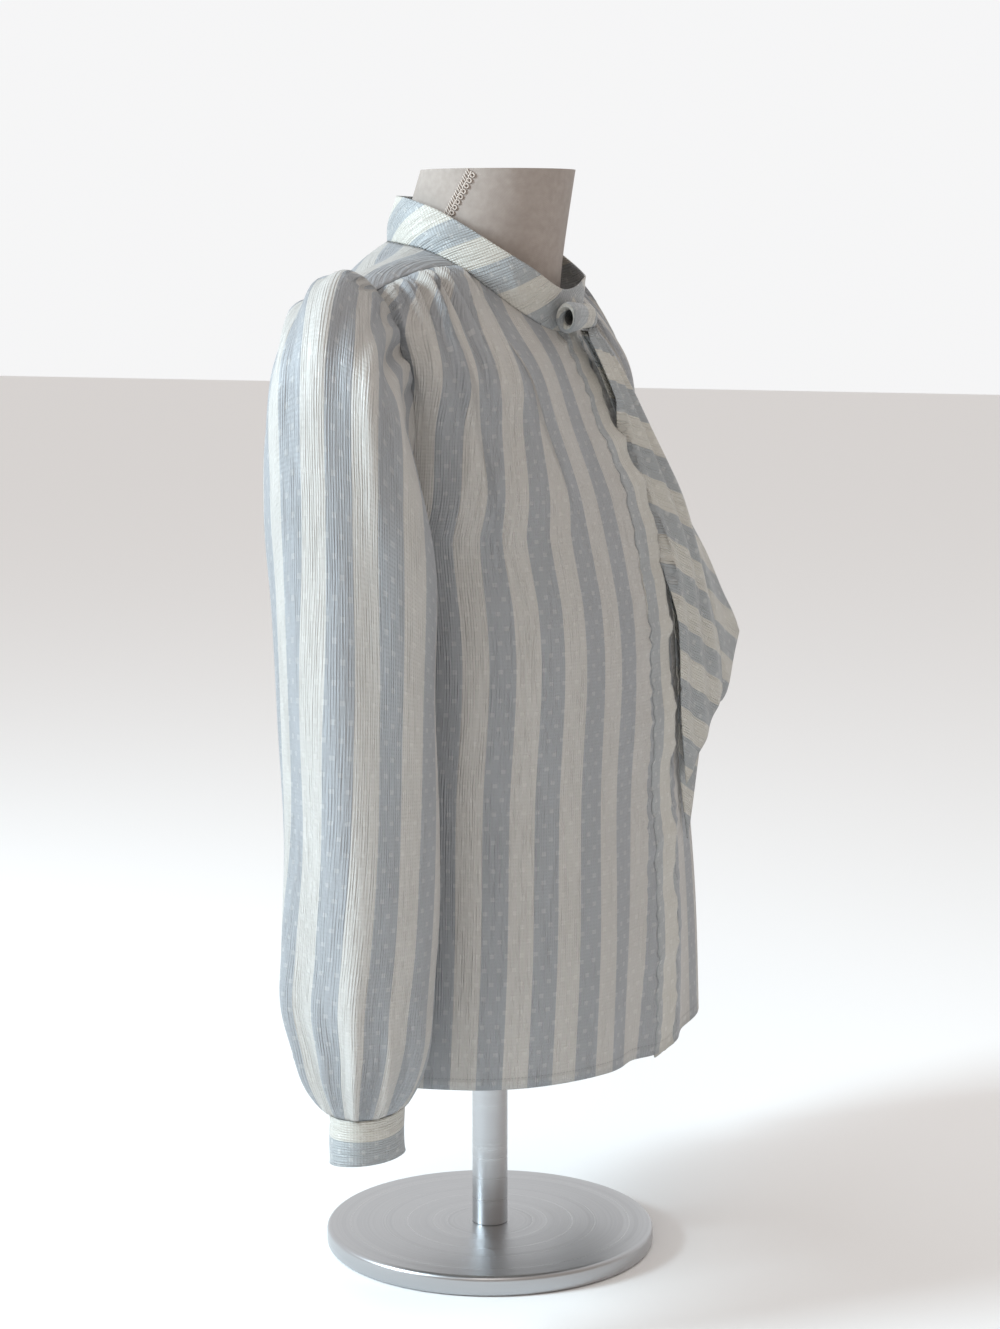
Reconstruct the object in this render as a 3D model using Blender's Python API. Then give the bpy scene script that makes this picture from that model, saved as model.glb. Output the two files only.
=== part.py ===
"""Tie neck blouse on a table-top dress form.

Sizes are in metres. +Z is up, the blouse faces -Y, and the wearer's right is -X.
The origin is the middle of the stand's underside. The body panels are read from level sections, the
sleeves from rings that swing from the armhole to the cuff, and each becomes a thin wall of cloth.
Half shapes are worked out for the wearer's right and mirrored for the left.
"""

import math

import bpy
import numpy as np
from mathutils import Vector
from mathutils.bvhtree import BVHTree

# Cloth
CLOTH = 0.0012
DOUBLE_CLOTH = 0.0018
SEAM_GAP = 0.0006
FRONT_WIDTH = 0.273
BACK_WIDTH = 0.262
OVERLAP = 0.015
PLACKET_WIDTH = 0.039
LAP_DEPTH = 0.0032

# Level sections of the body up to the underarm
BODY_SECTIONS = (
    # height, half width, front depth, back depth, side seam y, squareness
    (0.181, 0.197, 0.1450, 0.126, 0.012, 2.75),
    (0.270, 0.191, 0.1460, 0.123, 0.015, 2.6),
    (0.385, 0.184, 0.1415, 0.114, 0.020, 2.45),
    (0.500, 0.179, 0.1385, 0.111, 0.026, 2.4),
    (0.565, 0.175, 0.1260, 0.113, 0.030, 2.4),
)
# Sections of the front from the underarm to the neckline; the edge is the armhole
FRONT_CHEST = (
    # middle y, middle z, edge x, edge y, edge z, squareness
    (-0.1135, 0.605, 0.1700, 0.002, 0.603, 2.35),
    (-0.0925, 0.655, 0.1665, -0.012, 0.655, 2.25),
    (-0.0735, 0.704, 0.1725, -0.004, 0.712, 2.10),
)
# Sections of the back from the underarm to the yoke seam
BACK_BLADE = (
    # middle y, middle z, edge x, edge y, edge z, squareness
    (0.1140, 0.607, 0.1710, 0.0500, 0.605, 2.4),
    (0.1140, 0.655, 0.1665, 0.0680, 0.653, 2.45),
    (0.1100, 0.701, 0.1680, 0.0780, 0.702, 2.5),
)
# Neckline of the wearer's right half, from the middle front to the middle back
NECKLINE = (
    # x, y, z
    (0.000, -0.0650, 0.7230),
    (-0.030, -0.0605, 0.7255),
    (-0.052, -0.0470, 0.7380),
    (-0.066, -0.0250, 0.7570),
    (-0.070, -0.0035, 0.7725),
    (-0.069, 0.0200, 0.7830),
    (-0.058, 0.0480, 0.7885),
    (-0.034, 0.0700, 0.7905),
    (0.000, 0.0770, 0.7910),
)
YOKE_FRONT_STATION = 4
# Outer edge of the yoke over the shoulder, from the front seam to the back seam
YOKE_ARMHOLE = (
    # x, y, z
    (-0.182, 0.0095, 0.7555),
    (-0.187, 0.0280, 0.7615),
    (-0.186, 0.0480, 0.7540),
    (-0.179, 0.0660, 0.7330),
    (-0.168, 0.0780, 0.7020),
)
YOKE_ARMHOLE_SHARE = 0.42
YOKE_SHOULDER_CROWN = 0.004
YOKE_BACK_CROWN = 0.013

# Folds of the front that fan out from the yoke seam and the neckline
FRONT_FOLDS = (
    # place across the panel, half width, height, reach below the seam
    (0.955, 0.016, 0.0024, 0.120),
    (0.900, 0.018, 0.0042, 0.230),
    (0.845, 0.016, 0.0034, 0.150),
    (0.790, 0.018, 0.0046, 0.270),
    (0.735, 0.016, 0.0034, 0.130),
    (0.680, 0.018, 0.0046, 0.250),
    (0.625, 0.016, 0.0032, 0.120),
    (0.570, 0.018, 0.0040, 0.200),
    (0.450, 0.030, 0.0026, 0.160),
    (0.310, 0.034, 0.0022, 0.180),
)
# Folds of the back, from its yoke seam
BACK_FOLDS = (
    # place across the half panel, half width, height, reach below the seam
    (0.06, 0.030, 0.0040, 0.260),
    (0.19, 0.026, 0.0036, 0.170),
    (0.31, 0.028, 0.0044, 0.240),
    (0.44, 0.026, 0.0034, 0.150),
    (0.57, 0.028, 0.0042, 0.220),
    (0.70, 0.025, 0.0032, 0.140),
    (0.83, 0.027, 0.0030, 0.160),
)
GATHER_RISE = 0.016
HEM_DIP = 0.009
HEM_DIP_WIDTH = 0.120
LEFT_HEM_DIP = 0.012
LEFT_HEM_DIP_WIDTH = 0.140
HEM_DIP_REACH = 0.060
LEFT_PULL = 0.25
LEFT_PHASE = 0.95
SWAY_HEIGHT = 0.0035
# Waves where the placket's stitching pulls
PLACKET_WAVES = (
    # height, half length, lift
    (0.205, 0.022, 0.0015),
    (0.262, 0.030, 0.0035),
    (0.338, 0.020, 0.0022),
    (0.424, 0.024, 0.0050),
    (0.520, 0.026, 0.0030),
    (0.572, 0.013, 0.0022),
    (0.606, 0.012, 0.0024),
    (0.640, 0.012, 0.0022),
    (0.674, 0.012, 0.0018),
)

# Rings of the sleeve below the armhole
SLEEVE_RINGS = (
    # centre x, centre y, half width, half depth, z inside, z outside, squareness
    (-0.2290, 0.0160, 0.0365, 0.0500, 0.546, 0.7200, 2.1),
    (-0.2350, 0.0115, 0.0445, 0.0550, 0.520, 0.6400, 2.2),
    (-0.2360, 0.0060, 0.0460, 0.0560, 0.485, 0.5600, 2.2),
    (-0.2370, 0.0015, 0.0460, 0.0555, 0.445, 0.4670, 2.2),
    (-0.2400, -0.0040, 0.0460, 0.0542, 0.368, 0.3680, 2.2),
    (-0.2440, -0.0040, 0.0460, 0.0555, 0.300, 0.2960, 2.2),
    (-0.2475, -0.0045, 0.0465, 0.0545, 0.258, 0.2560, 2.2),
    (-0.2500, -0.0083, 0.0445, 0.0495, 0.230, 0.2290, 2.1),
    (-0.2520, -0.0105, 0.0415, 0.0400, 0.204, 0.2035, 2.1),
)
CAP_OUT = 0.020
CAP_OUT_UNDERARM = 0.010
CAP_DROP = 0.006
CAP_TUCK = 0.006
# Gathers at the top of the sleeve; place runs from the underarm by the front, and 0.5 is the shoulder
CAP_FOLDS = (
    # place, half width, height, reach
    (0.275, 0.016, 0.0026, 0.080),
    (0.330, 0.015, 0.0036, 0.120),
    (0.385, 0.014, 0.0044, 0.170),
    (0.435, 0.013, 0.0040, 0.110),
    (0.485, 0.014, 0.0050, 0.210),
    (0.535, 0.013, 0.0042, 0.120),
    (0.585, 0.014, 0.0042, 0.260),
    (0.635, 0.014, 0.0032, 0.130),
    (0.690, 0.015, 0.0030, 0.230),
    (0.745, 0.016, 0.0022, 0.110),
)
# Gathers above the cuff
CUFF_FOLDS = (
    # place, half width, height, reach
    (0.030, 0.020, 0.0032, 0.070),
    (0.115, 0.021, 0.0040, 0.110),
    (0.200, 0.019, 0.0034, 0.080),
    (0.285, 0.021, 0.0042, 0.120),
    (0.370, 0.019, 0.0034, 0.075),
    (0.455, 0.021, 0.0044, 0.130),
    (0.540, 0.020, 0.0036, 0.085),
    (0.625, 0.021, 0.0044, 0.140),
    (0.710, 0.019, 0.0034, 0.080),
    (0.795, 0.021, 0.0042, 0.120),
    (0.880, 0.020, 0.0034, 0.080),
    (0.960, 0.018, 0.0030, 0.070),
)

SLEEVE_WAVE = 0.0024
LEFT_SLEEVE_BACK = 0.018
CAP_BACK_SHARE = 0.9

# Cuff
CUFF_CENTRE = (-0.252, -0.0125)
CUFF_HALF_WIDTH = 0.0340
CUFF_HALF_DEPTH = 0.0230
CUFF_TOP = 0.1815
CUFF_HEIGHT = 0.0355
CUFF_EDGE_WAVE = 0.0030
BUTTON_RADIUS = 0.0052
BUTTON_THICKNESS = 0.0022

# Collar band: its upper edge, from the middle front round by the right, the back and the left
COLLAR_TOP = (
    # x, y, z
    (0.000, -0.0670, 0.7555),
    (-0.022, -0.0665, 0.7555),
    (-0.050, -0.0530, 0.7720),
    (-0.0605, -0.0330, 0.7860),
    (-0.0625, -0.0080, 0.8010),
    (-0.0610, 0.0150, 0.8130),
    (-0.0530, 0.0430, 0.8220),
    (-0.0310, 0.0630, 0.8245),
    (0.000, 0.0690, 0.8250),
    (0.0310, 0.0640, 0.8240),
    (0.0530, 0.0430, 0.8200),
    (0.0615, 0.0150, 0.8090),
    (0.0640, -0.0080, 0.7960),
    (0.0630, -0.0330, 0.7810),
    (0.0540, -0.0540, 0.7670),
    (0.0260, -0.0655, 0.7620),
)
COLLAR_BELLY = 0.0020

# Knot: a short roll of the tie in front of the collar, open at the end on the wearer's right
KNOT_SECTIONS = (
    # x, centre y, centre z, half depth, half height, hole share
    (-0.0330, -0.0755, 0.7335, 0.0080, 0.0115, 0.70),
    (-0.0280, -0.0760, 0.7340, 0.0082, 0.0120, 0.52),
    (-0.0180, -0.0765, 0.7345, 0.0082, 0.0110, 0.40),
    (-0.0050, -0.0768, 0.7345, 0.0080, 0.0100, 0.36),
    (0.0060, -0.0768, 0.7340, 0.0080, 0.0100, 0.36),
    (0.0150, -0.0755, 0.7330, 0.0070, 0.0090, 0.36),
)

# Tails of the tie: each row joins their two side edges, and the last row is the slanted end
NEAR_TAIL = (
    # inner x, inner y, inner z, outer x, outer y, outer z
    (-0.0020, -0.0805, 0.7205, 0.0160, -0.0790, 0.7215),
    (0.0060, -0.0930, 0.6900, 0.0360, -0.0895, 0.6968),
    (0.0120, -0.1050, 0.6480, 0.0550, -0.1107, 0.6466),
    (0.0160, -0.1215, 0.5960, 0.0700, -0.1304, 0.5998),
    (0.0200, -0.1410, 0.5450, 0.0780, -0.1395, 0.5643),
    (0.0250, -0.1465, 0.4900, 0.0850, -0.1483, 0.5209),
    (0.0280, -0.1475, 0.4300, 0.0900, -0.1570, 0.4773),
    (0.0400, -0.1480, 0.3745, 0.0900, -0.1599, 0.4418),
)
FAR_TAIL = (
    # inner x, inner y, inner z, outer x, outer y, outer z
    (0.0020, -0.0735, 0.7205, 0.0150, -0.0725, 0.7215),
    (0.0140, -0.0850, 0.6900, 0.0400, -0.0838, 0.6928),
    (0.0200, -0.1000, 0.6480, 0.0650, -0.1028, 0.6459),
    (0.0240, -0.1180, 0.5960, 0.0900, -0.1175, 0.5979),
    (0.0270, -0.1340, 0.5450, 0.1100, -0.1378, 0.5495),
    (0.0300, -0.1400, 0.4900, 0.1250, -0.1473, 0.5165),
    (0.0340, -0.1410, 0.4200, 0.1340, -0.1530, 0.4990),
    (0.0550, -0.1445, 0.3214, 0.1400, -0.1571, 0.4824),
)
TAIL_THICKNESS = 0.0016
TAIL_CLEARANCE = 0.0032
TAIL_MARGIN = 0.012
KNOT_SEAT = 0.0010
# The far tail's slanted end is folded up between its corners
FAR_END_HOLLOW = 0.060
FAR_END_PLACE = 0.32
FAR_END_WIDTH = 0.22
# Flutes of the tails, across their width
NEAR_FLUTES = (
    # place, half width, height
    (0.14, 0.10, 0.0030),
    (0.48, 0.13, 0.0050),
    (0.84, 0.10, 0.0040),
)
FAR_FLUTES = (
    # place, half width, height
    (0.30, 0.14, 0.0030),
    (0.72, 0.13, 0.0045),
)

# Dress form
FORM_SECTIONS = (
    # z front, z side, z back, half width, front y, back y, squareness
    (0.2120, 0.2120, 0.2120, 0.146, -0.098, 0.090, 2.2),
    (0.2240, 0.2240, 0.2240, 0.154, -0.105, 0.096, 2.2),
    (0.2900, 0.2900, 0.2900, 0.154, -0.106, 0.096, 2.2),
    (0.3600, 0.3600, 0.3600, 0.132, -0.094, 0.086, 2.1),
    (0.4100, 0.4100, 0.4100, 0.122, -0.088, 0.080, 2.1),
    (0.4700, 0.4700, 0.4700, 0.132, -0.104, 0.084, 2.1),
    (0.5200, 0.5200, 0.5200, 0.142, -0.118, 0.090, 2.1),
    (0.5800, 0.5800, 0.5800, 0.146, -0.104, 0.095, 2.1),
    (0.6400, 0.6450, 0.6400, 0.147, -0.084, 0.096, 2.1),
    (0.6870, 0.7040, 0.6950, 0.148, -0.066, 0.092, 2.0),
    (0.7070, 0.7350, 0.7330, 0.137, -0.057, 0.086, 2.0),
    (0.7183, 0.7580, 0.7705, 0.0983, -0.0542, 0.0792, 2.0),
    (0.7303, 0.7736, 0.7940, 0.0673, -0.0538, 0.0738, 2.0),
    (0.7490, 0.7890, 0.8070, 0.0575, -0.0535, 0.0660, 2.0),
    (0.7800, 0.8080, 0.8180, 0.0545, -0.0565, 0.0620, 2.0),
    (0.8440, 0.8440, 0.8440, 0.0545, -0.0660, 0.0530, 2.0),
)
FORM_SEGMENTS = 28
# Braid on the neck, given as y and z
BRAID_TOP = (-0.0090, 0.8425)
BRAID_LOW = (0.0210, 0.7930)
BRAID_WIDTH = 0.0080
BRAID_THICKNESS = 0.0012
BRAID_LIFT = 0.0011
BRAID_ROWS = 6
POLE_RADIUS = 0.014
BASE_RADIUS = 0.130
BASE_HEIGHT = 0.016
SOCKET_GAP = 0.0003

# Rows and columns of the walls
ROWS_TO_UNDERARM = 8
TOP_ROW_STEPS = (0.060, 0.036, 0.019, 0.008, 0.0)
ROW_STEP = 0.022
PLACKET_COLUMNS = 3
NECK_COLUMNS = 7
BACK_COLUMNS = 13
YOKE_ARMHOLE_COLUMNS = 6
YOKE_ROWS = 4
ARMHOLE_STEP = 0.0115
SLEEVE_ROWS = (0, 0.012, 0.032, 0.065, 0.12, 0.20, 0.31, 0.44, 0.58, 0.71, 0.81, 0.885, 0.94, 0.975, 1.0)
COLLAR_ROWS = 4
SEAM_REACH = 0.0012
MITRE_LIMIT = 1.45
SAME_FACING = 0.90
SIDE_BLEND = 0.05

COLOURS = {
    "cream": (0.78, 0.77, 0.72, 1.0),
    "silver_blue": (0.55, 0.60, 0.65, 1.0),
    "linen": (0.80, 0.77, 0.73, 1.0),
    "steel": (0.62, 0.62, 0.63, 1.0),
    "button": (0.60, 0.62, 0.66, 1.0),
}


def clear_scene():
    """Removes what the startup scene holds."""
    for obj in list(bpy.data.objects):
        bpy.data.objects.remove(obj, do_unlink=True)


def make_material(name, colour, roughness, metallic=0.0):
    """A plain finish."""
    material = bpy.data.materials.new(name)
    material.use_nodes = True
    shader = material.node_tree.nodes["Principled BSDF"]
    shader.inputs["Base Color"].default_value = COLOURS[colour]
    shader.inputs["Roughness"].default_value = roughness
    shader.inputs["Metallic"].default_value = metallic
    return material


def make_object(name, points, faces, material):
    """A smooth shaded mesh object from points and faces."""
    mesh = bpy.data.meshes.new(name)
    mesh.from_pydata([tuple(map(float, p)) for p in points], [], faces)
    mesh.validate()
    mesh.materials.append(material)
    mesh.shade_smooth()
    mesh.set_sharp_from_angle(angle=math.radians(50))
    obj = bpy.data.objects.new(name, mesh)
    bpy.context.scene.collection.objects.link(obj)
    return obj


def unit(vectors):
    """Vectors at length 1, along the last axis."""
    length = np.linalg.norm(vectors, axis=-1, keepdims=True)
    return vectors / np.maximum(length, 1e-12)


def spline(knots, controls, places):
    """Reads a smooth curve that passes through controls[k] at knots[k]."""
    knots = np.asarray(knots, float)
    controls = np.asarray(controls, float)
    places = np.clip(np.asarray(places, float), knots[0], knots[-1])
    steps = np.diff(knots)
    rises = np.diff(controls, axis=0) / steps.reshape((-1,) + (1,) * (controls.ndim - 1))
    slopes = np.empty_like(controls)
    for k in range(1, len(knots) - 1):
        before, after = steps[k - 1], steps[k]
        slopes[k] = (rises[k - 1] * after + rises[k] * before) / (before + after)
    slopes[0] = 1.5 * rises[0] - 0.5 * slopes[1]
    slopes[-1] = 1.5 * rises[-1] - 0.5 * slopes[-2]
    k = np.clip(np.searchsorted(knots, places, side="right") - 1, 0, len(steps) - 1)
    step = steps[k]
    t = (places - knots[k]) / step
    shape = (-1,) + (1,) * (controls.ndim - 1)
    t, step = t.reshape(shape), step.reshape(shape)
    return (
        (2 * t**3 - 3 * t**2 + 1) * controls[k]
        + (t**3 - 2 * t**2 + t) * step * slopes[k]
        + (3 * t**2 - 2 * t**3) * controls[k + 1]
        + (t**3 - t**2) * step * slopes[k + 1]
    )


def chord_knots(points):
    """Knots spaced as the points are."""
    lengths = np.linalg.norm(np.diff(np.asarray(points, float), axis=0), axis=-1)
    return np.concatenate([[0.0], np.cumsum(lengths)])


def even(points, shares):
    """Points at the given shares of a polyline's length."""
    knots = chord_knots(points)
    places = np.asarray(shares, float) * knots[-1]
    return np.stack([np.interp(places, knots, points[:, k]) for k in range(3)], axis=-1)


def smooth_line(table, count=160):
    """A fine polyline on the smooth curve through a table's points."""
    points = np.array(table, float)
    knots = chord_knots(points)
    return spline(knots, points, np.linspace(0, knots[-1], count))


def quarter(middle, edge, squareness, shares):
    """Part of a section, from its middle point to its edge point, as a quarter of a rounded square."""
    middle, edge = np.array(middle, float), np.array(edge, float)
    angle = np.linspace(0, math.pi / 2, 160)
    across = np.sin(angle) ** (2 / squareness)
    along = np.cos(angle) ** (2 / squareness)
    line = np.stack(
        [
            middle[0] + (edge[0] - middle[0]) * across,
            edge[1] + (middle[1] - edge[1]) * along,
            middle[2] + (edge[2] - middle[2]) * (1 - np.cos(angle)),
        ],
        axis=-1,
    )
    return even(line, shares)


def bump(distance, half_width):
    """A round ridge of height 1."""
    return np.exp(-((distance / half_width) ** 2))


def fade_from_seam(below, reach):
    """Rises from a seam over the gather's first stretch, then dies away at its reach."""
    rise = 1 - np.exp(-below / GATHER_RISE)
    fall = np.clip(1 - below / reach, 0, 1)
    return rise * fall * fall * (3 - 2 * fall)


NECK_LINE = smooth_line(NECKLINE)
NECK_KNOTS = chord_knots(np.array(NECKLINE))
NECK_SPLIT = NECK_KNOTS[YOKE_FRONT_STATION] / NECK_KNOTS[-1]


def neckline(share):
    """The neckline's right half, from the middle front at 0 to the middle back at 1."""
    return even(NECK_LINE, share)


def yoke_seam(share):
    """The seam in front of the shoulder, from the neck at 0 to the armhole at 1."""
    share = np.asarray(share, float)
    start = neckline(np.array([NECK_SPLIT]))[0]
    end = np.array(YOKE_ARMHOLE[0])
    line = start + (end - start) * share[:, None]
    line[:, 2] += YOKE_SHOULDER_CROWN * 4 * share * (1 - share)
    return line


def front_top(share):
    """The front's upper edge: half of its width meets the neckline and half the yoke."""
    share = np.asarray(share, float)
    on_neck = np.clip(share * 2, 0, 1) * NECK_SPLIT
    on_yoke = np.clip(share * 2 - 1, 0, 1)
    return np.where((share < 0.5)[:, None], neckline(on_neck), yoke_seam(on_yoke))


def half_sections(shares, is_front):
    """The right half's sections, from the hem up, read at shares from the middle to the side."""
    rings = []
    for height, half_width, front, back, side, square in BODY_SECTIONS:
        depth = -front if is_front else back
        rings.append(quarter((0, depth, height), (-half_width, side, height), square, shares))
    for mid_y, mid_z, edge_x, edge_y, edge_z, square in FRONT_CHEST if is_front else BACK_BLADE:
        rings.append(quarter((0, mid_y, mid_z), (-edge_x, edge_y, edge_z), square, shares))
    if is_front:
        rings.append(front_top(shares))
    return np.array(rings)


def section_knots(is_front):
    """Knots of the body's sections, as lengths up its side seam and then up the panel."""
    lines = half_sections(np.array([0.0, 0.5, 1.0]), is_front)
    below = len(BODY_SECTIONS)
    side = chord_knots(lines[:below, 2])
    above = np.mean([chord_knots(lines[below - 1 :, k]) for k in range(3)], axis=0)
    return np.concatenate([side, side[-1] + above[1:]])


def body_rows(is_front):
    """Places of the rows up a body panel, closer together towards its top seam."""
    knots = section_knots(is_front)
    top = knots[-1]
    underarm = knots[len(BODY_SECTIONS) - 1]
    low = list(np.linspace(0, underarm, ROWS_TO_UNDERARM + 1))
    count = max(2, round((top - TOP_ROW_STEPS[0] - underarm) / ROW_STEP))
    high = list(np.linspace(underarm, top - TOP_ROW_STEPS[0], count + 1))[1:]
    last = [top - step for step in TOP_ROW_STEPS[1:]]
    return np.array(low + high + last)


def surface_normals(grid, closed=False):
    """Normals of a grid of points, rows by columns."""
    if closed:
        along = np.roll(grid, -1, axis=1) - np.roll(grid, 1, axis=1)
    else:
        along = np.gradient(grid, axis=1)
    return unit(np.cross(along, np.gradient(grid, axis=0)))


def fold_lift(place, below, folds):
    """How far folds lift the cloth, at places across it and distances below its seam."""
    lift = np.zeros(np.broadcast(place, below).shape)
    for centre, half_width, height, reach in folds:
        widen = 1 + 1.2 * np.clip(below / 0.20, 0, 1.5)
        lift = lift + height * bump(place - centre, half_width * widen) * fade_from_seam(below, reach)
    return lift


def placket_lift(height, from_edge):
    """How far the pulled stitching lifts the cloth near the front edge."""
    lift = np.zeros(np.broadcast(height, from_edge).shape)
    for centre, half_length, rise in PLACKET_WAVES:
        lift = lift + rise * bump(height - centre, half_length)
    return lift * np.clip(1 - from_edge / 0.075, 0, 1)


def sway(place, height, phase):
    """Slow waves of the loose cloth, largest at the hem."""
    low = np.clip((0.46 - height) / 0.28, 0, 1)
    return SWAY_HEIGHT * low * np.sin(2 * math.pi * (2.6 * place + 0.35 * np.sin(5 * place) + phase))


def front_surface(widths, rows, inset=0.0, phase=0.0, pull=1.0):
    """Centre of the right front's cloth; widths run from the middle front and may go past it."""
    widths = np.asarray(widths, float)
    shares = np.abs(widths) / FRONT_WIDTH
    rings = half_sections(shares, True)
    rings[..., 0] *= np.where(widths < 0, -1.0, 1.0)[None, :]
    knots = section_knots(True)
    grid = spline(knots, rings, rows)
    normals = surface_normals(grid)
    if widths[-1] > widths[0]:
        normals = -normals
    below = (knots[-1] - rows)[:, None]
    place = (widths / FRONT_WIDTH)[None, :]
    inner = np.clip((1 - place) / 0.04, 0, 1)
    lift = fold_lift(place, below, FRONT_FOLDS) * inner
    lift = lift + placket_lift(grid[..., 2], (widths + OVERLAP)[None, :]) * pull
    lift = lift + sway(place, grid[..., 2], phase) * inner * np.clip(place / 0.2, 0, 1)
    lap = np.clip(1 - np.maximum(widths, 0) / 0.060, 0, 1)
    lift = lift + (0.0008 - inset) * (lap * lap * (3 - 2 * lap))[None, :]
    grid = grid + normals * lift[..., None]
    hem = np.clip(1 - (rows - rows[0]) / HEM_DIP_REACH, 0, 1)[:, None]
    if inset:
        dip = LEFT_HEM_DIP * np.clip(1 - np.abs(widths) / LEFT_HEM_DIP_WIDTH, 0, 1)
    else:
        dip = HEM_DIP * np.clip(1 - np.abs(widths) / HEM_DIP_WIDTH, 0, 1) ** 2
    grid[..., 2] -= hem * dip[None, :]
    return grid


def back_surface(widths, rows):
    """Centre of the back's cloth, from the wearer's right side to the left."""
    widths = np.asarray(widths, float)
    shares = np.abs(widths) / BACK_WIDTH
    rings = half_sections(shares, False)
    rings[..., 0] *= np.where(widths > 0, -1.0, 1.0)[None, :]
    knots = section_knots(False)
    grid = spline(knots, rings, rows)
    normals = -surface_normals(grid)
    below = (knots[-1] - rows)[:, None]
    place = shares[None, :]
    inner = np.clip((1 - place) / 0.05, 0, 1)
    lift = fold_lift(place, below, BACK_FOLDS) * inner
    lift = lift + sway(widths[None, :] / BACK_WIDTH, grid[..., 2], 0.3) * inner
    return grid + normals * lift[..., None]


def join_side(front, back):
    """Brings the side edges of the right front and the back onto one seam below the underarm."""
    rows = ROWS_TO_UNDERARM + 1
    seam = (front[:rows, -1] + back[:rows, 0]) / 2
    for grid, edge, places in ((front, -1, slice(None)), (back, 0, slice(None))):
        move = seam - grid[:rows, edge]
        away = np.linalg.norm(grid[:rows] - grid[:rows, edge][:, None], axis=-1)
        grid[:rows, places] += move[:, None] * np.clip(1 - away / SIDE_BLEND, 0, 1)[..., None]


def yoke_surface(columns_armhole, columns_back, rows):
    """Centre of the yoke's cloth: rows go out from the neckline, columns round it by the back."""
    armhole = smooth_line(YOKE_ARMHOLE)
    mid_y, mid_z, edge_x, edge_y, edge_z, square = BACK_BLADE[-1]
    shares = np.linspace(1, 0, columns_back + 1)
    back = quarter((0, mid_y, mid_z), (-edge_x, edge_y, edge_z), square, shares)
    outer = np.concatenate([even(armhole, np.linspace(0, 1, columns_armhole + 1)), back[1:]])
    split = NECK_SPLIT + (1 - NECK_SPLIT) * YOKE_ARMHOLE_SHARE
    inner_shares = np.concatenate(
        [
            np.linspace(NECK_SPLIT, split, columns_armhole + 1),
            np.linspace(split, 1, columns_back + 1)[1:],
        ]
    )
    inner = neckline(inner_shares)
    out = np.linspace(0, 1, rows + 1)[:, None, None]
    half = inner[None] * (1 - out) + outer[None] * out
    backward = np.clip((inner[:, 1] + 0.004) / 0.07, 0, 1)
    crown = YOKE_SHOULDER_CROWN + (YOKE_BACK_CROWN - YOKE_SHOULDER_CROWN) * backward
    lean = unit(np.stack([np.zeros_like(backward), 0.8 * backward, np.ones_like(backward)], axis=-1))
    half = half + (lean * crown[:, None])[None] * (4 * out * (1 - out))
    mirrored = half[:, ::-1][:, 1:] * np.array([-1.0, 1.0, 1.0])
    return np.concatenate([half, mirrored], axis=1)


def armhole_loop(front, yoke, back):
    """The right armhole as one closed line, from the underarm up the front and down the back."""
    up = front[ROWS_TO_UNDERARM:, -1]
    over = yoke[-1, : YOKE_ARMHOLE_COLUMNS + 1]
    down = back[ROWS_TO_UNDERARM:, 0][::-1]
    corners = np.concatenate([up[:-1], over[:-1], down[:-1]])
    loop = []
    for start, end in zip(corners, np.roll(corners, -1, axis=0)):
        pieces = max(1, math.ceil(np.linalg.norm(end - start) / ARMHOLE_STEP))
        loop += [start + (end - start) * k / pieces for k in range(pieces)]
    return np.array(loop)


def sleeve_ring(ring, place):
    """One ring of the sleeve; place 0 is its inner side and 0.25 its front."""
    centre_x, centre_y, half_width, half_depth, z_in, z_out, square = ring
    angle = 2 * math.pi * place
    cos, sin = np.cos(angle), np.sin(angle)
    across = np.sign(cos) * np.abs(cos) ** (2 / square)
    along = np.sign(sin) * np.abs(sin) ** (2 / square)
    height = z_in + (z_out - z_in) * (1 - cos) / 2
    return np.stack([centre_x + half_width * across, centre_y - half_depth * along, height], axis=-1)


def cuff_ring(place, height):
    """The cuff's outline at one height."""
    ring = (*CUFF_CENTRE, CUFF_HALF_WIDTH, CUFF_HALF_DEPTH, height, height, 2.2)
    return sleeve_ring(ring, place)


def sleeve_surface(loop, row_shares, phase=0.0, back=0.0):
    """Centre of the right sleeve's cloth, from the armhole to the cuff, hung further back if asked."""
    length = chord_knots(np.concatenate([loop, loop[:1]]))
    place = length[:-1] / length[-1]
    inner_side = (1 + np.cos(2 * math.pi * place)) / 2
    cap = loop.copy()
    cap[:, 0] -= CAP_OUT + (CAP_OUT_UNDERARM - CAP_OUT) * inner_side
    cap[:, 1] -= CAP_TUCK * np.clip(-np.sin(2 * math.pi * place), 0, 1)
    cap[:, 2] -= CAP_DROP * inner_side
    rings = [loop, cap] + [sleeve_ring(ring, place) for ring in SLEEVE_RINGS]
    rings.append(cuff_ring(place, CUFF_TOP))
    rings = np.array(rings)
    rings[1, :, 1] += back * CAP_BACK_SHARE * (1 - inner_side)
    rings[2:, :, 1] += back
    knots = np.mean([chord_knots(rings[:, k]) for k in range(0, len(place), 6)], axis=0)
    rows = np.asarray(row_shares) * knots[-1]
    grid = spline(knots, rings, rows)
    normals = surface_normals(grid, closed=True)
    below = rows[:, None]
    above = (knots[-1] - rows)[:, None]
    turned = place[None, :]
    lift = fold_lift(turned, below, CAP_FOLDS)
    for shift in (-1, 0, 1):
        lift = lift + fold_lift(turned + shift, above, CUFF_FOLDS)
    slow = np.sin(math.pi * np.clip(rows / knots[-1], 0, 1))[:, None] ** 2
    waves = np.sin(2 * math.pi * (4 * turned + phase + 0.5 * below / knots[-1]))
    lift = lift + SLEEVE_WAVE * slow * waves * (1 - inner_side)[None, :]
    return grid + normals * lift[..., None], place


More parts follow.
